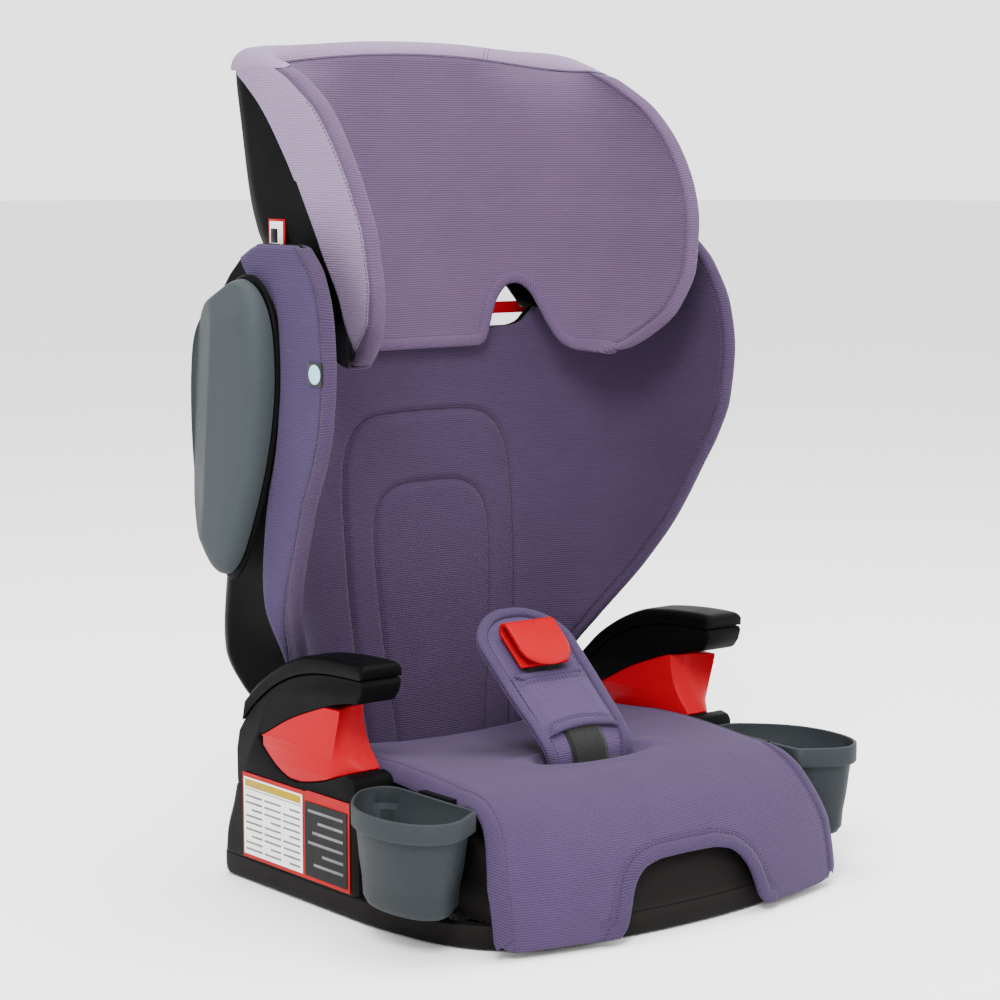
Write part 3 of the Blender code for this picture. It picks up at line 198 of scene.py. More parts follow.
def block(name, low, high, mat):
    """An axis-aligned box, used as a cutter or a thin plate."""
    outline = [(low[0], low[1]), (high[0], low[1]), (high[0], high[1]), (low[0], high[1])]
    return prism(name, outline, 'Z', low[2], high[2], mat)


def at_height(line, z):
    """A plan line placed at a height."""
    return [(p[0], p[1], z) for p in line]


def cut(obj, *tools):
    """Subtract cutters and drop them."""
    for tool in tools:
        mod = obj.modifiers.new("cut", 'BOOLEAN')
        mod.operation = 'DIFFERENCE'
        mod.solver = 'EXACT'
        mod.object = tool
    settle(obj)
    for tool in tools:
        bpy.data.objects.remove(tool, do_unlink=True)
    return obj


def settle(obj, sharp=38):
    """Apply an object's modifiers."""
    bpy.context.view_layer.update()
    graph = bpy.context.evaluated_depsgraph_get()
    mesh = bpy.data.meshes.new_from_object(obj.evaluated_get(graph))
    obj.modifiers.clear()
    obj.data = mesh
    shade(mesh, sharp)
    return obj


def bevel(obj, width, segments, angle):
    """Bevel modifier on edges sharper than an angle in degrees."""
    mod = obj.modifiers.new("soft_edges", 'BEVEL')
    mod.width = width
    mod.segments = segments
    mod.limit_method = 'ANGLE'
    mod.angle_limit = math.radians(angle)
    return mod


def soften(obj, width, segments=3, angle=32):
    """Rounded edges, applied."""
    bevel(obj, width, segments, angle)
    return settle(obj, 50)


def grid_faces(rows, cols, wrap=False):
    """Faces of a grid stored row by row."""
    faces = []
    last = cols if wrap else cols - 1
    for r in range(rows - 1):
        for c in range(last):
            d = (c + 1) % cols
            faces.append((r * cols + c, r * cols + d, (r + 1) * cols + d, (r + 1) * cols + c))
    return faces


def set_vector(mesh, name, x, y, z):
    """Store a vector per vertex for the materials to read."""
    layer = mesh.attributes.new(name, 'FLOAT_VECTOR', 'POINT')
    values = np.stack([np.ravel(x), np.ravel(y), np.ravel(z)], axis=1).astype(np.float32)
    layer.data.foreach_set("vector", values.ravel())


def rides(obj, body, slot, *nodes, fill=None):
    """Attach a piece to its body and hide the CAD nodes it replaces; slot and fill are not used."""
    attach(obj, body)
    if nodes:
        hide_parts(*nodes)
    return obj


# ============================================================== curved sheets
class Surface:
    """A curved sheet sampled on a regular table over s (across) and t (up)."""

    core = None              # (share, s) of the part whose columns stay put

    def __init__(self, lines, low, high, ends, facing=1):
        """lines: one (s, point) sampler per t level; ends: half width per level."""
        self.table = lines
        self.low = low
        self.high = high
        self.ends = np.array(ends)
        self.reach = float(self.ends.max()) + 0.01
        self.facing = facing

    def point(self, s, t):
        """Positions at (s, t), by bicubic interpolation."""
        rows, cols = self.table.shape[:2]
        r = np.clip((t - self.low) / (self.high - self.low) * (rows - 1), 0, rows - 1.0001)
        c = np.clip((s + self.reach) / (2 * self.reach) * (cols - 1), 0, cols - 1.0001)
        r0 = np.floor(r).astype(int)
        c0 = np.floor(c).astype(int)
        total = 0
        for i, wi in enumerate(self.weights(r - r0)):
            row = np.clip(r0 + i - 1, 0, rows - 1)
            for j, wj in enumerate(self.weights(c - c0)):
                col = np.clip(c0 + j - 1, 0, cols - 1)
                total = total + (wi * wj)[..., None] * self.table[row, col]
        return total

    @staticmethod
    def weights(f):
        """Catmull-Rom weights of four neighbours."""
        return (0.5 * (-f + 2 * f * f - f ** 3), 0.5 * (2 - 5 * f * f + 3 * f ** 3),
                0.5 * (f + 4 * f * f - 3 * f ** 3), 0.5 * (-f * f + f ** 3))

    def normal(self, s, t):
        """Unit normals on the outer side."""
        e = 0.0012
        across = self.point(s + e, t) - self.point(s - e, t)
        up = (self.point(s, np.minimum(t + e, self.high))
              - self.point(s, np.maximum(t - e, self.low)))
        n = np.cross(across, up) * self.facing
        return n / np.maximum(np.linalg.norm(n, axis=-1, keepdims=True), 1e-12)

    def column(self, share, t):
        """s of a column: fixed near the middle when there is a core, stretched outside it."""
        if self.core is None:
            return share * self.end(t)
        part, reach = self.core
        size = np.abs(share)
        outer = reach + (size - part) / (1 - part) * (self.end(t) - reach)
        return np.sign(share) * np.where(size < part, size / part * reach, outer)

    def end(self, t):
        """Half width of the sheet at t."""
        levels = np.linspace(self.low, self.high, len(self.ends))
        return np.interp(t, levels, self.ends)

    def lifted(self, s, t, height):
        """Points at a height above the outer side."""
        return self.point(s, t) + self.normal(s, t) * np.asarray(height)[..., None]


def surface_from_lines(line_at, low, high, facing=1):
    """Surface from a function that gives the half line (x, y) and z of each level."""
    levels = np.linspace(low, high, int((high - low) / LEVEL_PITCH) + 2)
    halves = []
    ends = []
    for t in levels:
        line = np.array(line_at(t), float)
        length = lengths(line)
        halves.append((length, line))
        ends.append(length[-1])
    reach = max(ends) + 0.01
    count = 2 * int(reach / COLUMN_PITCH) + 1
    s = np.linspace(-reach, reach, count)
    table = np.zeros((len(levels), count, 3))
    for row, (length, line) in enumerate(halves):
        past = np.maximum(np.abs(s) - length[-1], 0)
        last = line[-1] - line[-2]
        last = last / np.linalg.norm(last)
        for k in range(3):
            table[row, :, k] = np.interp(np.abs(s), length, line[:, k]) + past * last[k]
        table[row, :, 0] *= np.sign(s)
    return Surface(table, low, high, ends, facing)


def fit_edge(surface, share, rule, start):
    """t at which each column meets an edge rule given as t = rule(x, y)."""
    t = np.full(len(share), float(start))
    for _ in range(24):
        place = surface.point(surface.column(share, t), t)
        t = 0.5 * t + 0.5 * np.clip(rule(np.abs(place[:, 0]), place[:, 1]), surface.low,
                                    surface.high)
    return t


def sheet_grid(surface, bottom, top, step=STEP, columns=None):
    """(s, t) arrays of a mesh whose rows follow the sheet's bottom and top edges."""
    if columns is None:
        columns = int(2 * surface.ends.max() / step)
    share = np.linspace(-1, 1, columns | 1)
    low = fit_edge(surface, share, bottom, surface.low)
    high = fit_edge(surface, share, top, surface.high)
    rows = int((high - low).max() / step)
    part = np.linspace(0, 1, rows)[:, None]
    t = low[None, :] + part * (high - low)[None, :]
    return surface.column(share[None, :], t), t


def distance_to(line, s, t):
    """Distance of every grid point to a polyline in (s, t)."""
    a = np.array(line[:-1])
    d = np.array(line[1:]) - a
    size = np.maximum((d * d).sum(1), 1e-14)
    result = np.empty(s.shape)
    for r in range(s.shape[0]):
        ps = s[r][:, None] - a[None, :, 0]
        pt = t[r][:, None] - a[None, :, 1]
        along = np.clip((ps * d[None, :, 0] + pt * d[None, :, 1]) / size, 0, 1)
        result[r] = np.sqrt(((ps - along * d[None, :, 0]) ** 2
                             + (pt - along * d[None, :, 1]) ** 2).min(1))
    return result


def rim(s, t):
    """Closed edge polyline of a grid in (s, t)."""
    pairs = [(s[0, 1:], t[0, 1:]), (s[1:, -1], t[1:, -1]), (s[-1, -2::-1], t[-1, -2::-1]),
             (s[-2::-1, 0], t[-2::-1, 0])]
    ring = np.concatenate([np.stack(p, axis=1) for p in pairs])
    return np.vstack([[(s[0, 0], t[0, 0])], ring])


def inside(line, s, t):
    """True where grid points lie inside a closed polyline in (s, t)."""
    pts = np.array(line)
    result = np.zeros(s.shape, bool)
    for a, b in zip(pts[:-1], pts[1:]):
        spans = (a[1] > t) != (b[1] > t)
        rise = b[1] - a[1] if abs(b[1] - a[1]) > 1e-12 else 1e-12
        result ^= spans & (s < (b[0] - a[0]) * (t - a[1]) / rise + a[0])
    return result


def groove(distance, width, depth):
    """Height change of a sewn channel at a signed distance from its line."""
    return -depth * np.exp(-(distance / width) ** 2)


def rolled(distance, radius):
    """Height change that rolls the last bit of cloth over at an edge."""
    left = np.clip(radius - distance, 0, radius)
    return np.sqrt(np.maximum(radius ** 2 - left ** 2, 0)) - radius


def thick_sheet(name, place, mat, thickness, vectors, flip=False):
    """Grid of points made into a sheet with thickness; vectors are read by its material."""
    faces = grid_faces(*place.shape[:2])
    if flip:
        faces = [tuple(reversed(f)) for f in faces]
    mesh = bpy.data.meshes.new(name)
    mesh.from_pydata(place.reshape(-1, 3).tolist(), [], faces)
    for key, values in vectors.items():
        set_vector(mesh, key, *values)
    shade(mesh, 60)
    obj = add_object(name, mesh, mat)
    mod = obj.modifiers.new("thickness", 'SOLIDIFY')
    mod.thickness = thickness
    mod.offset = -1
    return settle(obj, 60)


def cloth(name, surface, s, t, height, mat, thickness, lines=None, trim=None):
    """Fabric sheet over part of a surface; lines and trim default to none nearby."""
    away = np.full_like(s, NO_SEAM)
    vectors = {"weave": (s, t, np.zeros_like(s)), "lines": lines or (away, away, away),
               "trim": trim or (away, -away, np.zeros_like(s))}
    place = surface.lifted(s, t, np.broadcast_to(height, s.shape))
    return thick_sheet(name, place, mat, thickness, vectors, surface.facing < 0)


# cross-section of a sewn binding: (distance in from the edge, height), first to last
# point runs over the top, the rest close it underneath
BINDING = ((-0.0012, -0.0006), (-0.0013, 0.0006), (-0.0004, 0.0016), (0.0012, 0.0022),
           (0.0035, 0.0025), (0.0060, 0.0024), (0.0080, 0.0018), (0.0092, 0.0009),
           (0.0098, -0.0006), (0.0060, -0.0010), (0.0020, -0.0010))


def binding(name, surface, path, mat, width=0.010, side=1, raise_by=0.0):
    """Ribbed tape sewn along an edge path given in (s, t); side picks the inward side."""
    pts = smooth_line(path, 0.0016)
    inward = sideways(pts) * side
    length = lengths(pts)
    across = [b * width / BINDING[8][0] for b, h in BINDING]
    fade = 0.12 + 0.88 * ease(np.minimum(length, length[-1] - length) / 0.007)
    ring = []
    for b, (_, h) in zip(across, BINDING):
        at = pts + inward * (b * fade)[:, None]
        ring.append(surface.lifted(at[:, 0], at[:, 1], h * fade + raise_by))
    grid = np.stack(ring, axis=1)
    count = len(BINDING)
    faces = grid_faces(len(pts), count, wrap=True)
    faces += [tuple(range(count)), tuple(range((len(pts) - 1) * count, len(pts) * count))]
    tape = solid(name, grid.reshape(-1, 3), faces, mat, 60, merge=False)
    weave = np.meshgrid(length, across, indexing='ij')
    set_vector(tape.data, "weave", *weave, np.zeros_like(weave[0]))
    return tape


def sideways(line):
    """Unit vectors to the left of a line's direction in (s, t)."""
    ahead = unit(np.gradient(line, axis=0))
    return np.stack([-ahead[:, 1], ahead[:, 0]], axis=1)


def smooth_line(path, spacing):
    """Evenly spaced points along a polyline, with its corners eased."""
    pts = np.array(path, float)
    total = lengths(pts)[-1]
    line = points_at(pts, np.linspace(0, total, max(int(total / spacing), 4)))
    for _ in range(3):
        line[1:-1] = (line[:-2] + 2 * line[1:-1] + line[2:]) / 4
    return line


def stitches(name, surface, path, mat, height):
    """Row of thread stitches along a path in (s, t)."""
    pts = smooth_line(path, STITCH_PITCH)
    s, t = pts.T
    tip = pts + unit(np.gradient(pts, axis=0)) * 0.001
    along = unit(surface.point(tip[:, 0], tip[:, 1]) - surface.point(s, t))
    centre = surface.lifted(s, t, np.full(len(pts), height))
    return thread_mesh(name, centre, along, surface.normal(s, t), mat, STITCH_LENGTH,
                       THREAD_RADIUS)


BEAD_FACES = grid_faces(4, 6, wrap=True) + [tuple(range(6)), tuple(range(18, 24))]


def thread_mesh(name, centre, along, up, mat, length, radius):
    """Small rounded beads of thread at the given places."""
    side = np.cross(along, up)
    verts = []
    faces = []
    sections = ((-0.5, 0.35, -0.8), (-0.3, 1.0, 0.2), (0.3, 1.0, 0.2), (0.5, 0.35, -0.8))
    for c, a, u, w in zip(centre, along, up, side):
        low = len(verts)
        for step, size, lift in sections:
            mid = c + a * length * step + u * radius * lift
            for k in range(6):
                angle = math.tau * k / 6
                verts.append(mid + radius * size * (w * math.cos(angle) + u * math.sin(angle)))
        faces += [tuple(low + k for k in face) for face in BEAD_FACES]
    return solid(name, verts, faces, mat, 60)


# ================================================================ materials
STUDIO = 2.0                 # brightness of the studio against a plain white one


def linear(red, green, blue, share=1.0 / STUDIO):
    """Linear colour from 0..255 display values, as it reads in the bright studio."""
    result = []
    for value in (red, green, blue):
        v = value / 255
        result.append(share * (v / 12.92 if v <= 0.04045 else ((v + 0.055) / 1.055) ** 2.4))
    return (*result, 1.0)


class Finish:
    """Builds one node material with short calls."""

    def __init__(self, name):
        self.mat = bpy.data.materials.new(name)
        self.mat.use_nodes = True
        self.tree = self.mat.node_tree
        self.shader = self.tree.nodes["Principled BSDF"]

    def node(self, kind, inputs=(), **settings):
        """Add a node; inputs is a list of (socket, value or output)."""
        made = self.tree.nodes.new("ShaderNode" + kind)
        for key, value in settings.items():
            setattr(made, key, value)
        for socket, value in inputs:
            if isinstance(value, bpy.types.NodeSocket):
                self.tree.links.new(value, made.inputs[socket])
            else:
                made.inputs[socket].default_value = value
        return made

    def split(self, attribute):
        """The three parts of a stored vector."""
        stored = self.node("Attribute", attribute_name=attribute).outputs[1]
        return self.node("SeparateXYZ", [(0, stored)]).outputs

    def math(self, operation, a, b=0.0, c=0.5):
        """One step of arithmetic; c is the third input of MULTIPLY_ADD."""
        return self.node("Math", [(0, a), (1, b), (2, c)], operation=operation).outputs[0]

    def plus(self, a, b, times=1.0):
        """a + b * times."""
        return self.math('MULTIPLY_ADD', b, times, a)

    def wave(self, value, pitch, wobble=0.0, amount=0.0):
        """Sine of a length over a pitch, with an optional wobble added to its angle."""
        turn = self.math('MULTIPLY', value, math.tau / pitch)
        if amount:
            turn = self.plus(turn, wobble, amount)
        return self.math('SINE', turn)

    def cells(self, scale):
        """Distance to the nearest point of a cell pattern on object coordinates."""
        vector = self.node("TexCoord").outputs["Object"]
        return self.node("TexVoronoi", [("Vector", vector), ("Scale", scale)]).outputs[0]

    def remap(self, value, low, high, to_low=0.0, to_high=1.0):
        """Smooth map from one range to another."""
        made = self.node("MapRange", [(0, value), (1, low), (2, high), (3, to_low), (4, to_high)],
                         interpolation_type='SMOOTHSTEP')
        return made.outputs[0]

    def noise(self, scale, detail=2.0, rough=0.5, stretch=None):
        """Noise value on object coordinates, optionally stretched."""
        vector = self.node("TexCoord").outputs["Object"]
        if stretch:
            vector = self.node("Mapping", [("Vector", vector), ("Scale", stretch)]).outputs[0]
        return self.node("TexNoise", [("Vector", vector), ("Scale", scale), ("Detail", detail),
                                      ("Roughness", rough)]).outputs[0]

    def mix(self, share, a, b, how='MIX'):
        """Blend two colours."""
        return self.node("Mix", [(0, share), (6, a), (7, b)], data_type='RGBA',
                         blend_type=how).outputs[2]

    def shade(self, colour, share):
        """Multiply a colour by a grey value."""
        grey = self.node("CombineColor", [(0, share), (1, share), (2, share)]).outputs[0]
        return self.mix(1.0, colour, grey, 'MULTIPLY')

    def bump(self, height, distance, strength=1.0):
        """Bump normal from a height."""
        return self.node("Bump", [("Strength", strength), ("Distance", distance),
                                  ("Height", height)]).outputs[0]

    def set(self, **values):
        """Plain values or outputs on the shader's own sockets, _ for a space."""
        for key, value in values.items():
            name = key.replace("_", " ")
            socket = self.shader.inputs[name]
            if isinstance(value, bpy.types.NodeSocket):
                self.tree.links.new(value, socket)
            else:
                socket.default_value = value
        return self


RIB = 0.0020                 # pitch of the knit's ribs
TRIM_RIB = 0.0023            # pitch of the ribs on the bindings
CORD_LINE = 0.0007           # half width of a sewn line and of the painted shade along it
TWILL = 0.0022               # pitch of the webbing's weave
LEVEL_PITCH = 0.003          # table spacing of a surface, up and across
COLUMN_PITCH = 0.0016
STRIP_PITCH = 0.0012         # grid spacing of the strap's strips
STITCH_PITCH = 0.0036
STITCH_LENGTH = 0.0024
THREAD_RADIUS = 0.00035
KNIT_SHEEN = 0.06
EDGE_WEAR = 0.35             # share of the worn colour on sharp edges


def knit(name, face, shadow, panel=None, tape=False):
    """Ribbed jersey knit.

    Reads "weave" (s, t), "trim" (length along a trim, how far inside it, outer panel
    share) and "lines" (signed distances to three seams).
    """
    f = Finish(name)
    across, up, _ = f.split("weave")
    wobble = f.noise(900.0, 2.0)
    slow = f.noise(26.0, 3.0)
    fuzz = f.noise(2600.0, 3.0, 0.7)
    along = f.plus(across, up, 0.55) if tape else f.plus(up, slow, 0.0012)
    ribs = f.math('MULTIPLY_ADD', f.wave(along, TRIM_RIB if tape else RIB, wobble, 1.1), 0.5)
    loops = f.math('MULTIPLY', f.math('ABSOLUTE', f.wave(across, 0.0011)), 0.16)
    if not tape:
        run, within, outer = f.split("trim")
        cords = f.math('MULTIPLY_ADD', f.wave(run, TRIM_RIB, wobble, 0.8), 0.5)
        where = f.remap(within, -0.0004, 0.0004)
        cords = f.math('MULTIPLY', cords, 1.25)
        ribs = f.node("Mix", [(0, where), (2, ribs), (3, cords)]).outputs[0]
        # seam: a thin line along each seam, used as a groove in the bump and as painted shade in
        # the colour
        near = [f.math('ABSOLUTE', part) for part in f.split("lines")]
        closest = f.math('MINIMUM', f.math('MINIMUM', near[0], near[1]), near[2])
        seam = f.remap(closest, 0.0, CORD_LINE, 1.0, 0.0)
    height = f.plus(f.math('ADD', ribs, loops), fuzz, 0.5)
    tone = f.plus(f.math('MULTIPLY_ADD', ribs, 0.26, 0.0), slow, 0.12)
    tone = f.remap(f.plus(tone, fuzz, 0.62), 0.15, 0.95)
    colour = f.mix(tone, linear(*shadow), linear(*face))
    # panel colours on the outer panels and top: partly their own lighter fabric, partly painted
    # light; the darker face colours are partly painted shade inside the wings
    if panel is not None:
        colour = f.mix(outer, colour, f.mix(tone, linear(*panel[1]), linear(*panel[0])))
    if not tape:
        # painted shade: the colour is darkened by half along each seam line
        colour = f.shade(colour, f.plus(1.0, seam, -0.5))
        height = f.plus(height, seam, -2.2)
    f.set(Base_Color=colour, Roughness=f.remap(fuzz, 0.2, 0.8, 0.78, 0.95), Sheen_Weight=KNIT_SHEEN,
          Sheen_Roughness=0.45, Specular_IOR_Level=0.12,
          Normal=f.bump(height, 0.00035, 0.8))
    return f.mat


def moulded(name, base, worn, rough=0.45, grain=1500.0, depth=0.00009, coat=0.0,
            cloud=0.12, glint=0.1):
    """Spark-eroded moulded plastic: fine grain, faint flow clouds and paler worn edges."""
    f = Finish(name)
    cells = f.cells(grain)
    fine = f.noise(grain * 1.7, 3.0, 0.65)
    slow = f.noise(18.0, 4.0)
    pointed = f.node("NewGeometry").outputs["Pointiness"]
    worn_share = f.math('MULTIPLY', f.remap(pointed, 0.50, 0.62), EDGE_WEAR)
    share = f.plus(f.plus(worn_share, f.math('ADD', cells, fine), 0.10), slow, cloud)
    colour = f.mix(f.remap(share, 0.0, 1.0), linear(*base), linear(*worn))
    roughness = f.plus(f.remap(slow, 0.3, 0.7, rough - 0.05, rough + 0.06), fine, 0.08)
    f.set(Base_Color=colour, Roughness=roughness, Coat_Weight=coat, Coat_Roughness=0.12,
          Specular_IOR_Level=glint, Normal=f.bump(f.plus(cells, fine, 0.6), depth, 0.9))
    return f.mat


def webbing(name, face, shadow):
    """Twill-woven polyester belt webbing."""
    f = Finish(name)
    across, up, _ = f.split("weave")
    rise = f.wave(f.math('ADD', across, up), TWILL)
    fall = f.wave(f.math('SUBTRACT', across, up), TWILL)
    fuzz = f.noise(2200.0, 3.0, 0.7)
    share = f.plus(fuzz, f.math('MULTIPLY', rise, fall), 0.3)
    colour = f.mix(f.remap(share, 0.1, 1.0), linear(*shadow), linear(*face))
    f.set(Base_Color=colour, Roughness=f.remap(fuzz, 0.2, 0.8, 0.6, 0.85), Sheen_Weight=0.15,
          Specular_IOR_Level=0.15, Normal=f.bump(share, 0.0004, 0.8))
    return f.mat


def foam(name, face, shadow):
    """Open-cell foam."""
    f = Finish(name)
    cells = f.cells(900.0)
    colour = f.mix(f.plus(cells, f.noise(40.0, 3.0), 0.4), linear(*shadow), linear(*face))
    f.set(Base_Color=colour, Roughness=f.remap(cells, 0.0, 1.0, 0.85, 1.0),
          Specular_IOR_Level=0.15, Normal=f.bump(cells, 0.0006, 0.8))
    return f.mat


def brushed(name):
    """Drawn steel with fine scratches along X."""
    f = Finish(name)
    scratch = f.noise(500.0, 4.0, 0.6, stretch=(0.03, 1.0, 1.0))
    slow = f.noise(30.0, 2.0)
    colour = f.mix(scratch, linear(120, 122, 126), linear(205, 207, 210))
    f.set(Base_Color=colour, Metallic=1.0, Roughness=f.remap(slow, 0.3, 0.7, 0.25, 0.42),
          Normal=f.bump(scratch, 0.00005, 0.6))
    return f.mat


def film(name, face, shadow):
    """Printed label film: satin, faintly dimpled."""
    f = Finish(name)
    slow = f.noise(60.0, 3.0)
    fine = f.noise(1800.0, 2.0)
    colour = f.mix(f.remap(slow, 0.3, 0.7), linear(*shadow, 0.8), linear(*face, 0.8))
    f.set(Base_Color=colour, Roughness=f.remap(fine, 0.2, 0.8, 0.32, 0.45),
          Specular_IOR_Level=0.08, Normal=f.bump(fine, 0.00004, 0.6))
    return f.mat


# face and panel colours: the paler panel colours are partly the outer fabric's own tone and partly
# painted light, the darker face colours partly painted shade
HEAD_KNIT = knit("head_knit", (127, 102, 138), (88, 68, 99),
                 panel=((188, 164, 200), (150, 126, 164)))
BACK_KNIT = knit("back_knit", (94, 74, 108), (60, 46, 74),
                 panel=((94, 76, 118), (62, 48, 86)))
SEAT_KNIT = knit("seat_knit", (99, 78, 118), (65, 50, 83))
STRAP_KNIT = knit("strap_knit", (112, 92, 134), (72, 57, 94))
HEAD_TAPE = knit("head_tape", (132, 106, 144), (74, 56, 86), tape=True)
BACK_TAPE = knit("back_tape", (104, 86, 126), (54, 42, 72), tape=True)
SEAT_TAPE = knit("seat_tape", (98, 78, 118), (50, 38, 68), tape=True)
BLACK = moulded("black_moulding", (9, 9, 10), (30, 30, 31), 0.44, glint=0.03)
# paler than BLACK: the lower tray's own lighter grained plastic, and painted light on the upper
# base shell's lit front
DARK = moulded("dark_grey_moulding", (26, 24, 23), (56, 54, 52), 0.5, glint=0.04)
SLATE = moulded("slate_moulding", (66, 73, 77), (112, 120, 122), 0.5, grain=1100.0,
                depth=0.00016, glint=0.07)
CUP_GREY = moulded("cup_grey_moulding", (52, 57, 61), (92, 98, 101), 0.5, grain=1100.0,
                   depth=0.00016, glint=0.07)
RED = moulded("red_moulding", (208, 0, 28), (234, 6, 40), 0.36, grain=1900.0, depth=0.00004,
              cloud=0.06, glint=0.05)
RED_GLOSS = moulded("red_gloss_moulding", (200, 0, 24), (236, 8, 36), 0.22, grain=2200.0,
                    depth=0.00002, coat=0.04, cloud=0.05, glint=0.05)
RUBBER = moulded("rubber_moulding", (14, 14, 14), (40, 40, 40), 0.8, grain=700.0, glint=0.05)
WEBBING = webbing("belt_webbing", (15, 15, 16), (3, 3, 4))
FOAM = foam("dark_foam", (70, 70, 73), (34, 34, 36))
STEEL = brushed("drawn_steel")
PALE_FILM = film("pale_film", (250, 250, 248), (242, 242, 240))
DARK_FILM = film("dark_film", (20, 20, 21), (12, 12, 13))
GREY_FILM = film("grey_film", (120, 122, 126), (100, 102, 106))
YELLOW_FILM = film("yellow_film", (176, 148, 0), (160, 134, 0))
TEAL_FILM = film("teal_film", (170, 220, 232), (124, 190, 206))
RED_FILM = film("red_film", (166, 0, 8), (150, 0, 6))
# the thread is darkened to the shade in the seams: painted shade on the stitches
THREAD = webbing("sewing_thread", (92, 76, 112), (56, 44, 70))


# ==================================================== plans of back and headrest
HEAD_Y = 0.175               # front face of the headrest at zero lean
BACK_Y = 0.185
HEAD_REAR = 0.1965
HEAD_SEAM_Z = 0.7085         # seam between headrest face and top panel, on the middle
HEAD_TOP_Z = 0.7215
HEAD_ROLL = 0.0165           # radius of the headrest's rolled top edge
BACK_LOW = 0.078
BACK_HIGH = 0.549
HEAD_LOW = 0.437
HEAD_HIGH = 0.712
HEAD_SHELL_LOW = 0.482
HEAD_SHELL_HIGH = 0.7035
NOSE_BAND = 0.0105           # half width of the ribbed trim along a wing's front edge

# height, tip x, tip y, heading, nose radius
BACK_TIPS = (
    (0.078, 0.104, 0.1790, 0, 0.0065), (0.125, 0.131, 0.1840, 0, 0.0065),
    (0.160, 0.1510, 0.1730, 30, 0.0065), (0.197, 0.1680, 0.1480, 55, 0.0065),
    (0.247, 0.1930, 0.1150, 74, 0.0065), (0.292, 0.2055, 0.0860, 84, 0.0065),
    (0.342, 0.2125, 0.0590, 90, 0.0065), (0.371, 0.2150, 0.0425, 90, 0.0065),
    (0.404, 0.2170, 0.0300, 90, 0.0065), (0.451, 0.2175, 0.0250, 90, 0.0065),
    (0.486, 0.2160, 0.0295, 90, 0.0065), (0.526, 0.2120, 0.0480, 90, 0.0065),
    (0.549, 0.2100, 0.0720, 90, 0.0065))
# height, outer x, rear y, corner radius
BACK_CORNERS = (
    (0.078, 0.128, 0.226, 0.020), (0.125, 0.155, 0.238, 0.022), (0.160, 0.186, 0.240, 0.028),
    (0.197, 0.208, 0.236, 0.032), (0.247, 0.215, 0.224, 0.032), (0.292, 0.217, 0.214, 0.030),
    (0.342, 0.219, 0.212, 0.030), (0.404, 0.221, 0.216, 0.030), (0.451, 0.222, 0.219, 0.030),
    (0.486, 0.220, 0.222, 0.030), (0.526, 0.216, 0.225, 0.030), (0.549, 0.214, 0.227, 0.030))
# height, y where the cover ends on the outside of the wing
BACK_WRAP = (
    (0.078, 0.190), (0.125, 0.192), (0.160, 0.181), (0.197, 0.163), (0.247, 0.150),
    (0.292, 0.136), (0.342, 0.120), (0.371, 0.108), (0.404, 0.099), (0.451, 0.095),
    (0.486, 0.099), (0.505, 0.112), (0.522, 0.150), (0.549, 0.175))
# height, tip x, tip y, nose radius
HEAD_TIPS = (
    (0.437, 0.130, 0.1180, 0.0075), (0.4455, 0.1360, 0.0980, 0.0075),
    (0.4480, 0.1400, 0.0870, 0.0075), (0.4520, 0.1440, 0.0770, 0.0075),
    (0.4600, 0.1490, 0.0640, 0.0075), (0.476, 0.1570, 0.0450, 0.0075),
    (0.487, 0.1610, 0.0370, 0.0075), (0.522, 0.1700, 0.0260, 0.0075),
    (0.557, 0.1745, 0.0276, 0.0075), (0.591, 0.1785, 0.0376, 0.0075),
    (0.625, 0.1795, 0.0566, 0.0075), (0.660, 0.1770, 0.0880, 0.0075),
    (0.685, 0.1730, 0.1290, 0.0075), (0.700, 0.1710, 0.1640, 0.0075),
    (0.712, 0.1700, 0.1780, 0.0075))
# height, outer x, rear y at zero lean, corner radius
HEAD_CORNERS = (
    (0.437, 0.1440, 0.1835, 0.060), (0.459, 0.1560, 0.1835, 0.072), (0.475, 0.1640, 0.1835, 0.080),
    (0.482, 0.1665, HEAD_REAR, 0.100), (0.505, 0.1720, HEAD_REAR, 0.080),
    (0.530, 0.1780, HEAD_REAR, 0.056), (0.557, 0.1830, HEAD_REAR, 0.038),
    (0.591, 0.1860, HEAD_REAR, 0.030), (0.640, 0.187, HEAD_REAR, 0.024),
    (0.680, 0.187, HEAD_REAR, 0.018), (0.712, 0.186, HEAD_REAR, 0.016))
# height, y where the cover ends on the outside of the headrest wing
HEAD_WRAP = (
    (0.437, 0.125), (0.459, 0.085), (0.500, 0.083), (0.545, 0.097), (0.572, 0.108),
    (0.597, 0.121), (0.618, 0.135), (0.645, 0.157), (0.664, 0.176), (0.680, 0.196),
    (0.692, 0.210), (0.712, 0.213))


def wing_plan(y_centre, flat_x, tip, heading, nose_r, corner, corner_r):
    """Half plan: front line to the nose, the nose itself, and the rear corner."""
    angle = math.radians(heading)
    along = np.array((math.cos(angle), -math.sin(angle)))
    out = np.array((math.sin(angle), math.cos(angle)))
    centre = np.array(tip) - nose_r * along
    start = centre - nose_r * out
    flat = np.array((flat_x, y_centre))
    reach = float(np.linalg.norm(start - flat))
    handle_a = flat + np.array((0.45 * reach, 0.0))
    handle_b = start - 0.42 * reach * along
    front = [(flat_x * i / 10, y_centre) for i in range(10)]
    for t in np.linspace(0, 1, 40):
        u = 1 - t
        front.append(tuple(u ** 3 * flat + 3 * u * u * t * handle_a + 3 * u * t * t * handle_b
                           + t ** 3 * start))
    nose = arc(centre, nose_r, 270 - heading, 360, 14)[1:]
    turn = arc((corner[0] - corner_r, corner[1] - corner_r), corner_r, 0, 90, 14)
    return front, nose, turn


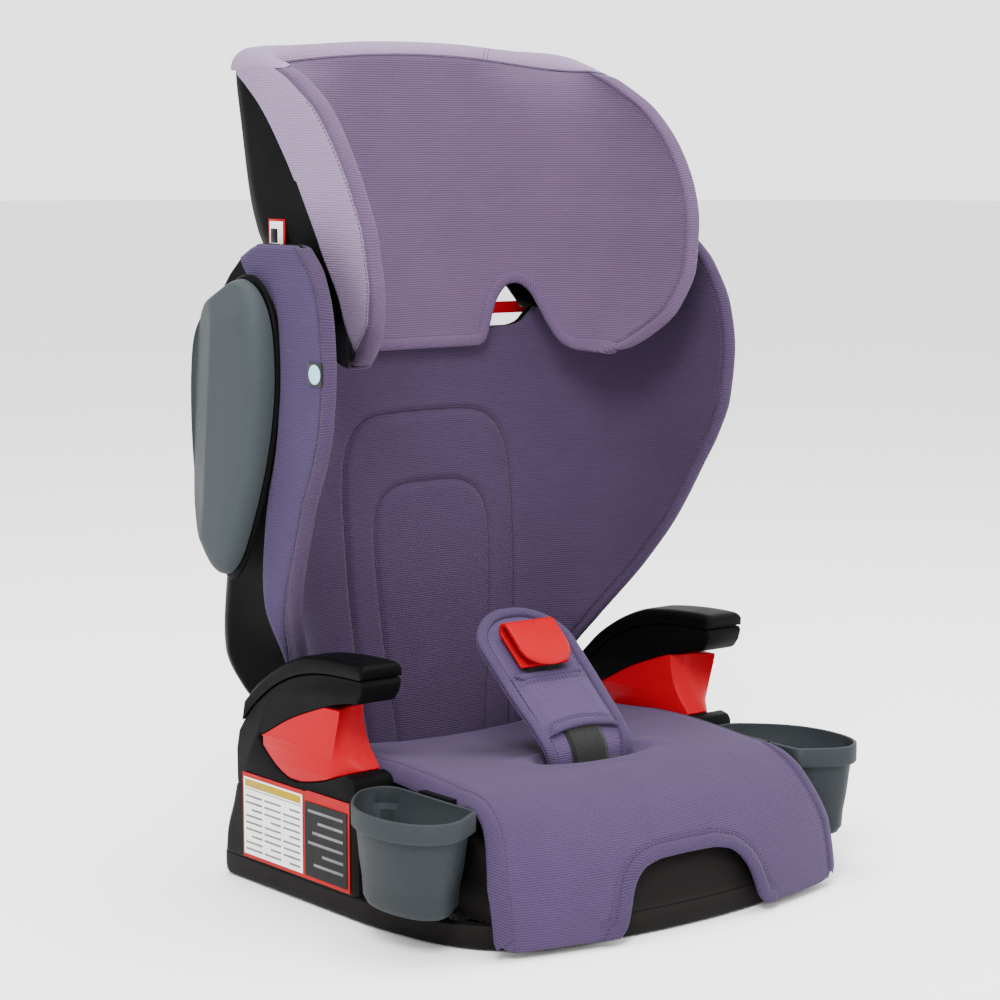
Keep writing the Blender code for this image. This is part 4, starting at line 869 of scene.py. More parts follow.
def back_plan(z):
    """Half plan of the back at a height."""
    tip_x, tip_y, heading, nose_r = smooth_rows(BACK_TIPS, z)[0]
    corner_x, corner_y, corner_r = smooth_rows(BACK_CORNERS, z)[0]
    return wing_plan(BACK_Y + lean(z), min(0.080, 0.72 * tip_x), (tip_x, tip_y), heading, nose_r,
                     (corner_x, corner_y), corner_r)


def head_plan(z):
    """Half plan of the headrest at a height."""
    tip_x, tip_y, nose_r = smooth_rows(HEAD_TIPS, z)[0]
    corner_x, corner_y, corner_r = smooth_rows(HEAD_CORNERS, z)[0]
    return wing_plan(HEAD_Y + lean(z), 0.045, (tip_x, tip_y), 90, nose_r,
                     (corner_x, corner_y + lean(z)), corner_r)


def wrap_line(plan, y_wrap):
    """Front, nose and the stretch of the outside up to where the cover ends."""
    front, nose, turn = plan
    span = max(turn[0][1] - nose[-1][1], 1e-4)
    share = min(max((y_wrap - nose[-1][1]) / span, 0.08), 0.97)
    a = np.array(nose[-1])
    b = np.array(turn[0])
    return front + nose + [tuple(a + (b - a) * share * k / 8) for k in range(1, 9)]


def back_cover_line(z):
    """Half line of the back cover at a height."""
    return at_height(wrap_line(back_plan(z), smooth_rows(BACK_WRAP, z)[0][0]), z)


def head_cover_line(z):
    """Half line of the headrest cover at a height."""
    return at_height(wrap_line(head_plan(z), smooth_rows(HEAD_WRAP, z)[0][0]), z)


def eased_depth(count_front, total, at_nose, at_centre):
    """Depth below the cover: deeper toward the centre, shallow at the nose."""
    share = np.clip((count_front - 1 - np.arange(total)) / 25.0, 0, 1)
    return at_nose + (at_centre - at_nose) * ease(share)


def back_shell_line(z):
    """Outer skin of the back's shell, round the wing and into its rear flange."""
    front, nose, turn = back_plan(z)
    flange = (max(turn[-1][0] - 0.020, 0.04), turn[-1][1])
    half = front + nose + turn + [flange]
    depth = eased_depth(len(front), len(half), FABRIC + 0.0024, FABRIC + 0.0048)
    depth[len(front):] = FABRIC + 0.0016
    line = offset_line(half, -depth)
    line[0] = (0.0, front[0][1] + depth[0])
    return at_height(line, z)


def head_shell_line(z):
    """Outer skin of the headrest's shell, from the middle of its rear to the side wall."""
    _, nose, turn = head_plan(z)
    wall_end = (nose[-1][0], nose[-1][1] + 0.012)
    half = [(0.0, turn[-1][1])] + list(reversed(turn)) + [wall_end]
    skin = np.interp(np.linspace(0, 1, len(half)), (0, 0.1, 0.75, 1), (0, 0.0004, 0.0054, 0.0054))
    line = offset_line(half, skin)
    line[0] = (0.0, half[0][1])
    return at_height(line, z)


# half width, height of the back's top edge
BACK_TOP_X = ((0.0, 0.466), (0.100, 0.466), (0.112, 0.469), (0.121, 0.478), (0.132, 0.489),
              (0.150, 0.501), (0.175, 0.522), (0.192, 0.541), (0.200, 0.549), (0.240, 0.549))
# y, height of the wing's sloping rear corner
BACK_TOP_Y = ((0.0, 0.549), (0.138, 0.549), (0.150, 0.545), (0.168, 0.536), (0.184, 0.522),
              (0.205, 0.495), (0.260, 0.440))
# half width, height of the headrest's hem, belt arches and lobes
HEAD_HEM = ((0.0, 0.451), (0.054, 0.451), (0.0595, 0.4530), (0.0635, 0.4580), (0.0660, 0.4660),
            (0.0735, 0.4883), (0.0800, 0.4990), (0.0880, 0.5060), (0.0950, 0.5066),
            (0.1040, 0.5000), (0.1110, 0.4830), (0.1160, 0.4660), (0.1205, 0.4530),
            (0.1260, 0.4470), (0.1340, 0.4455), (0.1450, 0.4450), (0.170, 0.4440))


def table_rule(rows):
    """Interpolating rule from rows of (position, height)."""
    table = np.array(rows, float)
    return lambda value: np.interp(value, table[:, 0], table[:, 1])


def back_top(x, y):
    """Height of the back's top edge: bowed over the middle, sloped at the wings' rear."""
    return np.minimum(smooth_rows(BACK_TOP_X, x)[:, 0], table_rule(BACK_TOP_Y)(y))


def head_hem(x, y):
    """Height of the headrest's hem."""
    return smooth_rows(HEAD_HEM, x)[:, 0]


def head_seam(x, y):
    """Height of the seam under the top panel: crowned from side to side."""
    return HEAD_SEAM_Z - 0.0048 * (x / 0.1) ** 2


def nose_length(plan_of, z):
    """Length along the cover from the middle to the tip of the nose."""
    front, nose, _ = plan_of(z)
    return lengths(front + nose[:len(nose) // 2])[-1]


def nose_rule(plan_of, low, high):
    """Interpolating rule for the nose's place in s."""
    levels = np.linspace(low, high, 60)
    lengths = [nose_length(plan_of, z) for z in levels]
    return lambda t: np.interp(t, levels, lengths)


def nose_slope(nose_at, t):
    """Change of the nose's place in s over t."""
    return (nose_at(t + 0.002) - nose_at(t - 0.002)) / 0.004


def trim_vectors(s, t, nose_at):
    """Signed distance into the nose trim, length along it and the outer panel share."""
    slope = nose_slope(nose_at, t)
    off = (np.abs(s) - nose_at(t)) / np.sqrt(1 + slope ** 2)
    levels = np.linspace(t.min(), t.max(), 200)
    run = np.interp(t, levels, lengths(np.stack([nose_at(levels), levels], axis=1)))
    return (NOSE_BAND - np.abs(off), run + off * slope * 0.5,
            ease((off - NOSE_BAND) / 0.0018 + 0.5))


def nose_stitches(prefix, skin, nose_at, levels, body, slot, slanted):
    """Stitch rows along both edges of each wing's trim."""
    for side, sign in SIDES:
        for tag, shift in (("inner", -NOSE_BAND - 0.0016), ("outer", NOSE_BAND + 0.0016)):
            reach = shift * (np.sqrt(1 + nose_slope(nose_at, levels) ** 2) if slanted else 1)
            path = np.stack([sign * (nose_at(levels) + reach), levels], axis=1)
            rides(stitches(f"{prefix}_stitches_{tag}_{side}", skin, path, THREAD, 0.0002),
                  body, slot)


def flat(height):
    """Edge rule of a level edge."""
    return lambda x, y: np.full_like(x, height)


# ============================================================ back and its parts
PANEL_OUTER = ((0.074, 0.060), (0.079, 0.110), (0.086, 0.160), (0.092, 0.230), (0.0940, 0.300),
               (0.0930, 0.335), (0.0890, 0.360), (0.0800, 0.3780), (0.0660, 0.3890),
               (0.0450, 0.3935), (0.0, 0.3945))
PANEL_INNER = ((0.045, 0.060), (0.050, 0.110), (0.057, 0.170), (0.0620, 0.230), (0.0640, 0.275),
               (0.0625, 0.298), (0.0565, 0.3150), (0.0450, 0.3255), (0.0280, 0.3310),
               (0.0, 0.3320))


def panel_outline(rows):
    """Closed outline of an embossed panel in (s, t)."""
    right = smooth_loop(rows, 60, closed=False)
    left = np.stack([-right[::-1, 0], right[::-1, 1]], axis=1)
    return np.vstack([right, left[1:], right[:1]])


def signed(line, s, t):
    """Distance to a closed line, positive inside."""
    return distance_to(line, s, t) * np.where(inside(line, s, t), 1.0, -1.0)


def make_back():
    """Back cover with its embossed panels, the foam under it, and the moulded shell."""
    skin = surface_from_lines(back_cover_line, BACK_LOW, BACK_HIGH)
    s, t = sheet_grid(skin, flat(BACK_LOW), back_top)
    nose_at = nose_rule(back_plan, BACK_LOW, BACK_HIGH)
    trim, run, outer = trim_vectors(s, t, nose_at)
    big = signed(panel_outline(PANEL_OUTER), s, t)
    small = signed(panel_outline(PANEL_INNER), s, t)
    edge = distance_to(rim(s, t), s, t)
    height = groove(big, 0.0026, 0.0030) + groove(small, 0.0026, 0.0026)
    height += 0.0016 * ease(big / 0.010) + 0.0014 * ease(small / 0.010)
    height += groove(trim, 0.0016, 0.0010) + 0.0003 * ease(trim / 0.004)
    height += rolled(edge, 0.0035)
    # the knit paints shade along the seam lines given here
    cover = cloth("back_cloth", skin, s, t, height, BACK_KNIT, 0.0035,
                  (trim, big, small), (run, trim, outer))
    rides(cover, "backrest", "purple_fabric", "back_cover", fill=0.7)
    nose_stitches("back", skin, nose_at, np.linspace(0.150, 0.535, 120), "backrest",
                  "purple_fabric", slanted=False)
    part = np.abs(s[0]) < nose_at(t[0]) - 0.008
    liner = cloth("back_liner", skin, s[:, part][:, ::3], t[:, part][:, ::3], -0.0042, FOAM, 0.0024)
    rides(liner, "backrest", "foam_grey", "back_foam", fill=0.9)
    make_back_shell()


def make_back_shell():
    """Black moulded shell behind the back cover, with a rolled rear flange."""
    skin = surface_from_lines(back_shell_line, BACK_LOW, BACK_HIGH)
    s, t = sheet_grid(skin, flat(BACK_LOW), back_top, step=0.0035)
    shell = cloth("back_moulding", skin, s, t, 0.0, BLACK, 0.0025)
    rides(shell, "backrest", "black_plastic", "back_shell")


# ======================================================================= headrest
def make_headrest():
    """Headrest face and wings, its bindings, foam, shell and rolled top panel."""
    skin = surface_from_lines(head_cover_line, HEAD_LOW, HEAD_HIGH)
    skin.core = (0.6, 0.145)
    s, t = sheet_grid(skin, head_hem, head_seam, step=0.0016, columns=560)
    nose_at = nose_rule(head_plan, HEAD_LOW, HEAD_HIGH)
    trim, run, outer = trim_vectors(s, t, nose_at)
    edge = distance_to(rim(s, t), s, t)
    below = t < 0.60
    height = groove(trim, 0.0022, 0.0010) * (1 - ease((t - 0.664) / 0.010))
    height += 0.0002 * ease(trim / 0.004)
    height += np.where(below, rolled(edge, 0.0030), 0)
    height += groove(np.where(below, NO_SEAM, edge), 0.0022, 0.0012) * (1 - outer)
    away = np.full_like(s, NO_SEAM)
    # the knit paints shade along the trim's seam lines given here
    cover = cloth("headrest_cloth", skin, s, t, height, HEAD_KNIT, 0.0035, (trim, away, away),
                  (run, trim, outer))
    rides(cover, "headrest", "mauve_fabric", "headrest_cover", fill=0.75)
    hem = np.stack([s[0], t[0]], axis=1)[4:-4]
    tape = binding("headrest_hem_tape", skin, hem, HEAD_TAPE, 0.0095)
    rides(tape, "headrest", "mauve_fabric")
    nose_stitches("head", skin, nose_at, np.linspace(0.462, 0.664, 100), "headrest",
                  "mauve_fabric", slanted=True)
    make_head_liner(skin, s, t, nose_at)
    make_head_shell()
    make_head_top(skin)


def make_head_liner(skin, s, t, nose_at):
    """Foam that backs the headrest face."""
    part = (np.abs(s) < nose_at(t) - 0.012).all(axis=0)
    t_in = t[:, part][:, ::3]
    t_in = t_in[:1] + 0.002 + (t_in - t_in[:1]) * 0.985
    liner = cloth("headrest_liner", skin, s[:, part][:, ::3], t_in, -0.0042, FOAM, 0.0040)
    rides(liner, "headrest", "foam_grey", "headrest_foam", fill=0.9)


def make_head_shell():
    """Black moulded shell behind and beside the headrest."""
    skin = surface_from_lines(head_shell_line, HEAD_SHELL_LOW, HEAD_SHELL_HIGH, facing=-1)
    s, t = sheet_grid(skin, lambda x, y: np.maximum(head_hem(x, y) + 0.002, HEAD_SHELL_LOW),
                      flat(HEAD_SHELL_HIGH), step=0.003, columns=220)
    shell = cloth("headrest_moulding", skin, s, t, 0.0, BLACK, 0.0028)
    rides(shell, "headrest", "black_plastic", "headrest_shell")


def head_top_edges(skin):
    """Front edge of the top panel from nose to nose, and its outer and rear edge."""
    share = np.linspace(-1, 1, 241)
    seam_t = fit_edge(skin, share, head_seam, 0.70)
    lead = skin.lifted(skin.column(share, seam_t), seam_t, np.full(len(share), -0.0004))
    low, high = lead[-1, 2], HEAD_SHELL_HIGH + 0.001
    turn = np.array(head_plan(HEAD_SHELL_HIGH)[2])[::-1]
    turn = np.vstack([[0.0, turn[0, 1]], turn])
    drop = (low - high) * (turn[:, 0] / turn[-1, 0]) ** 8
    rear = np.column_stack([turn, high + drop])
    rear = np.vstack([rear[:0:-1] * (-1, 1, 1), rear])
    left = int(lead[:120, 1].argmin())
    right = 121 + int(lead[121:, 1].argmin())
    edges = (lead[left:right + 1], np.vstack([lead[left::-1], rear, lead[:right - 1:-1]]))
    shares = np.linspace(0.004, 0.996, 241)
    return [points_at(line, shares * lengths(line)[-1]) for line in edges]


def make_head_top(skin):
    """Rolled top panel from the face's seam over to the shell."""
    lead, tail = head_top_edges(skin)
    rows = []
    for angle in np.linspace(0, math.pi, 41):
        c = math.copysign(abs(math.cos(angle)) ** 0.75, math.cos(angle))
        rows.append((lead + tail) / 2 + (lead - tail) / 2 * c)
    grid = np.array(rows)
    crown = HEAD_TOP_Z - 0.0034 * (np.abs(grid[..., 0]) / 0.1) ** 2
    ring = np.vstack([lead[:, :2], tail[::-1, :2], lead[:1, :2]])
    depth = np.clip(distance_to(ring, grid[..., 0], grid[..., 1]) / HEAD_ROLL, 0, 1)
    along = np.linspace(-1, 1, len(lead))
    full = np.sin(np.minimum((1 - np.abs(along)) / 0.32, 1) * math.pi / 2)
    grid[..., 2] += (crown - grid[..., 2]) * np.sqrt(1 - (1 - depth) ** 2) * full
    steps = np.linalg.norm(np.diff(grid, axis=0), axis=2)
    run = np.vstack([np.zeros(len(along)), np.cumsum(steps, axis=0)])
    width = np.tile(along * lengths(lead)[-1] / 2, (len(grid), 1))
    away = np.full_like(width, NO_SEAM)
    # the knit paints shade along the top panel's seam lines given here
    vectors = {"weave": (width, run, away),
               "lines": (np.abs(width - 0.082) - 0.0022, run - 0.0004, away),
               "trim": (away, -away, np.ones_like(width))}
    top = thick_sheet("headrest_top_panel", grid, HEAD_KNIT, WALL, vectors)
    rides(top, "headrest", "mauve_fabric", "headrest_top", fill=0.7)


# =========================================================================== seat
FRONT_SWEEP = 0.028
SEAT_HALF_W = 0.168
SIDE_ROLL = 0.022            # width of the cover's rolled-over side
SEAT_TOP = ((0.146, 0.1075), (0.110, 0.1080), (0.060, 0.1120), (0.010, 0.1180), (-0.040, 0.1210),
            (-0.078, 0.1195), (-0.106, 0.1120), (-0.134, 0.0960), (-0.156, 0.0700),
            (-0.1690, 0.0380), (-0.1740, 0.0065))
# half width, height of the front edge of the cover: arch in the middle, hem at the sides
SEAT_ARCH = ((0.0, 0.0630), (0.026, 0.0625), (0.045, 0.0590), (0.057, 0.0515), (0.065, 0.0400),
             (0.070, 0.0260), (0.0745, 0.0140), (0.082, 0.0078), (0.094, 0.0065),
             (0.160, 0.0065), (0.172, 0.0072), (0.179, 0.0100), (0.185, 0.0170), (0.20, 0.0170))
STRAP_SPOT = (-0.0370, 0.0480, 0.0190)   # y of the strap opening, its half length and half depth


def seat_surface():
    """Seat top and front drape as a sheet; t runs from the hem back to the rear edge."""
    line = smooth_loop(SEAT_TOP, 260, closed=False)[::-1]
    total = float(lengths(line)[-1])
    rows = int(total / 0.0025)
    t = np.linspace(0, total, rows)
    y, z = points_at(line, t).T[:, :, None]
    reach = SEAT_HALF_W + 0.01
    s = np.linspace(-reach, reach, 2 * int(reach / 0.0016) + 1)[None, :]
    bulge = (np.abs(s) / SEAT_HALF_W) ** 2.2
    side = np.clip((np.abs(s) - SEAT_HALF_W + SIDE_ROLL) / SIDE_ROLL, 0, 1.3)
    on_top = ease_linear((y + 0.130) / 0.060)
    sweep = FRONT_SWEEP * bulge * ease_linear((-y - 0.080) / 0.090)
    lift = 0.016 * bulge * ease_linear((y + 0.060) / 0.120)
    flare = 1 + 0.100 * ease_linear((0.116 - z) / 0.060) * (y < -0.07)
    drop = side ** 2.2 * (0.0035 + 0.0110 * on_top)
    table = np.stack([s * flare, y + sweep + drop * (1 - on_top), z + lift - drop * on_top], axis=2)
    skin = Surface(table, 0.0, total, [SEAT_HALF_W] * rows)
    skin.height_of = lambda height: np.interp(height, z[:150, 0], t[:150])
    return skin


def ease_linear(value):
    """Limit to 0..1 with slightly eased ends."""
    t = np.clip(value, 0.0, 1.0)
    return 0.7 * t + 0.3 * t * t * (3 - 2 * t)


def seat_front(skin):
    """Rule for the front edge: arch over the middle, hem elsewhere."""
    return lambda x, y: skin.height_of(smooth_rows(SEAT_ARCH, x)[:, 0])


def make_seat():
    """Seat cover with its arch, side tapes, strap opening and the foam under it."""
    skin = seat_surface()
    s, t = sheet_grid(skin, seat_front(skin), flat(skin.high), step=0.0018, columns=300)
    place = skin.point(s, t)
    edge = distance_to(rim(s, t), s, t)
    spot_y, half_l, half_d = STRAP_SPOT
    ring = np.sqrt((place[..., 0] / half_l) ** 2 + ((place[..., 1] - spot_y) / half_d) ** 2)
    height = rolled(edge, 0.0034)
    height -= 0.010 * ease((1.42 - ring) / 0.62)
    height += 0.0016 * np.exp(-((ring - 1.55) / 0.28) ** 2)
    dimple = ((place[..., 0] - 0.062) / 0.016) ** 2 + ((place[..., 1] + 0.052) / 0.009) ** 2
    height -= 0.0016 * np.exp(-dimple)
    cover = cloth("seat_cloth", skin, s, t, height, SEAT_KNIT, 0.0050)
    rides(cover, "base", "seat_fabric", "seat_cover", fill=0.7)
    hem = np.stack([s[0], t[0]], axis=1)
    arch = hem[np.abs(hem[:, 0]) < 0.088]
    rides(binding("seat_arch_tape", skin, arch, SEAT_TAPE, 0.0105), "base", "seat_fabric")
    line = smooth_line(arch, 0.002)
    for gap in (0.0122, 0.0150):
        rides(stitches(f"seat_arch_stitches_{int(gap * 10000)}", skin,
                       line + sideways(line) * gap, THREAD, 0.0003), "base", "seat_fabric")
    for side, sign in SIDES:
        up = np.linspace(0.003, skin.high - 0.003, 160)
        path = np.stack([np.full(len(up), sign * (SEAT_HALF_W - 0.0006)), up], axis=1)
        rides(binding(f"seat_side_tape_{side}", skin, path, SEAT_TAPE, 0.0105, side=sign),
              "base", "seat_fabric")
        path = np.stack([np.full(len(up), sign * (SEAT_HALF_W - 0.0130)), up], axis=1)
        rides(stitches(f"seat_side_stitches_{side}", skin, path, THREAD, 0.0003), "base",
              "seat_fabric")
    rows = t[:, 150] > 0.10
    liner = cloth("seat_liner", skin, s[rows][::3, 18:-18:3], t[rows][::3, 18:-18:3], -0.0060,
                  FOAM, 0.0240)
    rides(liner, "base", "foam_grey", "seat_foam", fill=0.9)


# ===================================================================== clip strap
STRAP_LINE = ((-0.0355, 0.0840), (-0.0355, 0.1000), (-0.0375, 0.1150), (-0.0335, 0.1300),
              (-0.0190, 0.1460), (-0.0010, 0.1610), (0.0185, 0.1780), (0.0380, 0.1950),
              (0.0540, 0.2090), (0.0660, 0.2195), (0.0770, 0.2290))
# share of the strap's length, half width of the pad before its rounded end
STRAP_WIDTH = ((0.0, 0.0380), (0.15, 0.0425), (0.25, 0.0455), (0.40, 0.0475), (0.55, 0.0490),
               (0.72, 0.0495), (1.0, 0.0495))
STRAP_ROUND = 0.042          # length of the rounded end
SLEEVE_SPAN = (0.0560, 0.1215)   # lengths along the strap
SLEEVE_HALF_W = 0.0385
SLEEVE_BOW = 0.0060          # rise of the low hem in the middle
CLIP_AT = (0.0440, 0.1985)
CLIP_SLOPE = 41.0
CLIP_HALF_W = 0.0265


def strap_surface():
    """Middle sheet of the strap; t runs up along it."""
    line = smooth_loop(STRAP_LINE, 200, closed=False)
    total = float(lengths(line)[-1])
    t = np.linspace(0, total, 110)
    y, z = points_at(line, t).T[:, :, None]
    s = np.linspace(-0.060, 0.060, 61)[None, :]
    table = np.stack(np.broadcast_arrays(s, y, z), axis=2)
    width = smooth_rows(STRAP_WIDTH, t / total)[:, 0]
    past = np.clip((t - (total - STRAP_ROUND)) / STRAP_ROUND, 0, 0.9995)
    return Surface(table, 0.0, total, width * np.sqrt(1 - past ** 2))


def strip_grid(half, low, high, bow=0.0):
    """(s, t) grid of a strip between two t values, its low end bowed in the middle."""
    share = np.linspace(-1, 1, int(2 * half / STRIP_PITCH) | 1)
    rows = max(int((high - low) / STRIP_PITCH), 3)
    first = low + bow * (1 - share ** 2)[None, :]
    t = first + np.linspace(0, 1, rows)[:, None] * (high - first)
    return np.tile(half * share, (rows, 1)), t


def make_strap():
    """Crotch strap: padded backing with a taped rim, webbing, sleeve and red clip."""
    skin = strap_surface()
    share = np.linspace(-1, 1, 61)
    rows = np.linspace(0.016, skin.high - 0.0006, 150)[:, None]
    t = np.tile(rows, (1, 61))
    s = share[None, :] * skin.end(t)
    edge = distance_to(rim(s, t), s, t)
    pad = cloth("strap_pad_cloth", skin, s, t, -0.0006 + rolled(edge, 0.0036), STRAP_KNIT, 0.0060)
    rides(pad, "clip_strap", "strap_fabric", "strap_pad", fill=0.8)
    up = np.linspace(0.017, skin.high - 0.0008, 400)
    left = np.stack([-skin.end(up), up], axis=1)
    path = np.vstack([left, np.stack([skin.end(up), up], axis=1)[::-1]])
    tape = binding("strap_rim_tape", skin, path, BACK_TAPE, 0.0086, side=-1)
    rides(tape, "clip_strap", "strap_fabric")
    across = np.sign(path[:, 0]) * np.maximum(np.abs(path[:, 0]) - 0.0100, 0.0)
    inset = np.stack([across, path[:, 1]], axis=1)[path[:, 1] < skin.high - 0.012]
    for side, sign in SIDES:
        part = inset[inset[:, 0] * sign > 0]
        rides(stitches(f"strap_stitches_{side}", skin, part, THREAD, 0.0001), "clip_strap",
              "strap_fabric")
    s, t = strip_grid(0.0190, 0.0015, 0.150)
    height = 0.0018 - 0.0010 * (np.abs(s) > 0.0176)
    web = cloth("strap_web_cloth", skin, s, t, height, WEBBING, 0.0016, (s, s, s), (s, s, s))
    rides(web, "clip_strap", "webbing_black", "strap_webbing")
    make_sleeve(skin)
    make_clip()


def make_sleeve(skin):
    """Sleeve over the webbing, with a taped and stitched hem at each end."""
    low, high = SLEEVE_SPAN
    s, t = strip_grid(SLEEVE_HALF_W, low, high, SLEEVE_BOW)
    edge = distance_to(rim(s, t), s, t)
    height = 0.0010 + 0.0034 * ease((SLEEVE_HALF_W - np.abs(s)) / 0.012) + 0.3 * rolled(edge, 0.002)
    sleeve = cloth("strap_sleeve_cloth", skin, s, t, height, STRAP_KNIT, 0.0020)
    rides(sleeve, "clip_strap", "strap_fabric", "strap_sleeve", fill=0.6)
    x = np.linspace(0.001 - SLEEVE_HALF_W, SLEEVE_HALF_W - 0.001, 80)
    for tag, base, bow, side in (("low", low, SLEEVE_BOW, 1), ("high", high, 0.0, -1)):
        path = np.stack([x, base + bow * (1 - (x / SLEEVE_HALF_W) ** 2)], axis=1)
        rides(binding(f"strap_sleeve_tape_{tag}", skin, path, BACK_TAPE, 0.0062, side=side,
                      raise_by=0.0034), "clip_strap", "strap_fabric")
        for k, gap in enumerate((0.0080, 0.0100)):
            row = path + np.array((0.0, side * gap))
            rides(stitches(f"sleeve_stitches_{tag}_{k}", skin, row, THREAD, 0.0049), "clip_strap",
                  "strap_fabric")


def clip_point(x, along, out):
    """Point of the clip at x: along the strap, then out from its face."""
    angle = math.radians(CLIP_SLOPE)
    return (x, CLIP_AT[0] + along * math.cos(angle) - out * math.sin(angle),
            CLIP_AT[1] + along * math.sin(angle) + out * math.cos(angle))


def make_clip():
    """Folded red hook: base plate, round fold on top and a tongue with a rounded end."""
    fold = arc((0.0140, 0.0112), 0.0076, 90, -90, 12)
    inner = arc((0.0140, 0.0112), 0.0036, -90, 90, 10)
    rings = []
    for x in np.linspace(-CLIP_HALF_W, CLIP_HALF_W, 31):
        part = abs(x) / CLIP_HALF_W
        tip = -0.0310 + 0.0190 * (1 - math.sqrt(max(1 - part ** 2.2, 0.0)))
        side = 0.0006 * part ** 6
        outer = [(tip + 0.0026, 0.0186 - side), (tip + 0.0100, 0.0192 - side)] + fold
        line = outer + [(-0.0220, 0.0036 + side), (-0.0226, 0.0056), (-0.0220, 0.0076)]
        line += inner + [(tip + 0.0020, 0.0142), (tip, 0.0164)]
        rings.append([clip_point(x, a, o) for a, o in line])
    clip = loft("red_clip", rings, RED_GLOSS, 45)
    soften(clip, 0.0018, 4, 40)
    rides(clip, "clip_strap", "red_plastic", "belt_clip")


# ==================================================================== side pods
POD_OUTLINE = ((0.167, 0.2720), (0.187, 0.2900), (0.203, 0.3150), (0.212, 0.3400),
               (0.2175, 0.3900), (0.2170, 0.4400), (0.210, 0.4730), (0.189, 0.4960),
               (0.160, 0.5120), (0.135, 0.5205), (0.113, 0.5110), (0.098, 0.4870),
               (0.093, 0.4500), (0.096, 0.4120), (0.107, 0.3680), (0.126, 0.3210),
               (0.147, 0.2830))
POD_CENTRE = (0.150, 0.410)
POD_RIDGE_Y = 0.158


def soft_min(values, blend):
    """Smooth minimum of several arrays."""
    stack = np.array(np.broadcast_arrays(*values))
    low = stack.min(axis=0)
    return low - blend * np.log(np.exp(-(stack - low) / blend).sum(axis=0))


def pod_height(y, z, scale):
    """Outward reach of the pod: faceted crown inside a rounded edge."""
    ridge = POD_RIDGE_Y - 0.10 * (z - 0.40)
    dome = 0.2300 + 0.0200 * (1 - np.clip(scale, 0, 1) ** 9) ** 0.5
    front = 0.2520 - 0.07 * (ridge - y)
    rear = 0.2520 - 0.42 * (y - ridge)
    top = 0.2520 - 0.34 * (z - 0.480)
    foot = 0.2520 - 0.10 * (0.345 - z)
    return np.maximum(soft_min((dome, front, rear, top, foot), 0.0004), 0.2300 * (scale >= 1))


def pod_ring(sign, scale, reach=None):
    """The pod's outline scaled about its centre, at one reach or on the pod's face."""
    outline = smooth_loop(POD_OUTLINE, 132)
    y, z = (np.array(POD_CENTRE) + (outline - POD_CENTRE) * scale).T
    x = pod_height(y, z, scale) if reach is None else np.full(len(y), reach)
    return np.stack([sign * x, y, z], axis=1).tolist()


def make_pods():
    """Side-impact pods with a blunt ridge, and the black gaskets they sit on."""
    scales = np.concatenate((1 - np.linspace(0, 0.16, 12) ** 1.3, np.linspace(0.88, 0.03, 60)))
    seat = ((1.020, 0.2228), (1.034, 0.2234), (1.034, 0.2256), (1.020, 0.2268))
    for side, sign in SIDES:
        rings = [pod_ring(sign, 0.985, 0.2272)] + [pod_ring(sign, scale) for scale in scales]
        pod = loft(f"pod_moulding_{side}", rings, SLATE, 50)
        rides(pod, "backrest", "slate_plastic", f"side_pod_{side}")
        gasket = loft(f"pod_seat_{side}", [pod_ring(sign, *one) for one in seat], BLACK)
        rides(gasket, "backrest", "black_plastic", f"pod_gasket_{side}")


# ==================================================================== cup holders
CUP_OUTLINE = ((0.1755, -0.104), (0.1755, -0.075), (0.1755, -0.040), (0.1755, -0.010),
               (0.1768, -0.001), (0.1825, 0.0070), (0.1940, 0.0098), (0.2060, 0.0075),
               (0.2170, -0.0010), (0.2300, -0.0140), (0.2410, -0.0290), (0.2485, -0.0470),
               (0.2515, -0.0680), (0.2500, -0.0900), (0.2440, -0.1080), (0.2330, -0.1210),
               (0.2190, -0.1270), (0.2060, -0.1250), (0.1930, -0.1180), (0.1820, -0.1110))
CUP_RIM_Z = 0.1125
CUP_FLOOR_Z = 0.032
CUP_BAND = 0.017


def make_cups():
    """Cup holders with a rim band and tapered walls."""
    outline = smooth_loop(CUP_OUTLINE, 120)
    low = CUP_RIM_Z - CUP_BAND
    rows = ((0.0175, CUP_FLOOR_Z), (0.0150, CUP_FLOOR_Z + 0.0010), (0.0135, CUP_FLOOR_Z + 0.004),
            (0.0080, 0.068), (0.0048, low), (0.0008, low + 0.0004), (0.0001, low + 0.0012),
            (0.0, low + 0.003), (0.0, CUP_RIM_Z - 0.0012), (0.0003, CUP_RIM_Z - 0.0004),
            (0.0010, CUP_RIM_Z), (0.0022, CUP_RIM_Z), (0.0029, CUP_RIM_Z - 0.0004),
            (0.0031, CUP_RIM_Z - 0.0012), (0.0034, low + 0.004), (0.0075, low),
            (0.0118, CUP_FLOOR_Z + 0.006), (0.0135, CUP_FLOOR_Z + 0.0036),
            (0.0170, CUP_FLOOR_Z + 0.003))
    mid = (outline.min(0) + outline.max(0)) / 2
    size = outline.max(0) - outline.min(0)
    for side, sign in SIDES:
        rings = []
        for inset, z in rows:
            pts = mid + (outline - mid) * (1 - 2 * inset / size)
            rings.append([(sign * x, y, z) for x, y in pts])
        cup = loft(f"cup_moulding_{side}", rings, CUP_GREY, 45)
        rides(cup, f"cup_{side}", "slate_plastic", f"cup_holder_{side}")


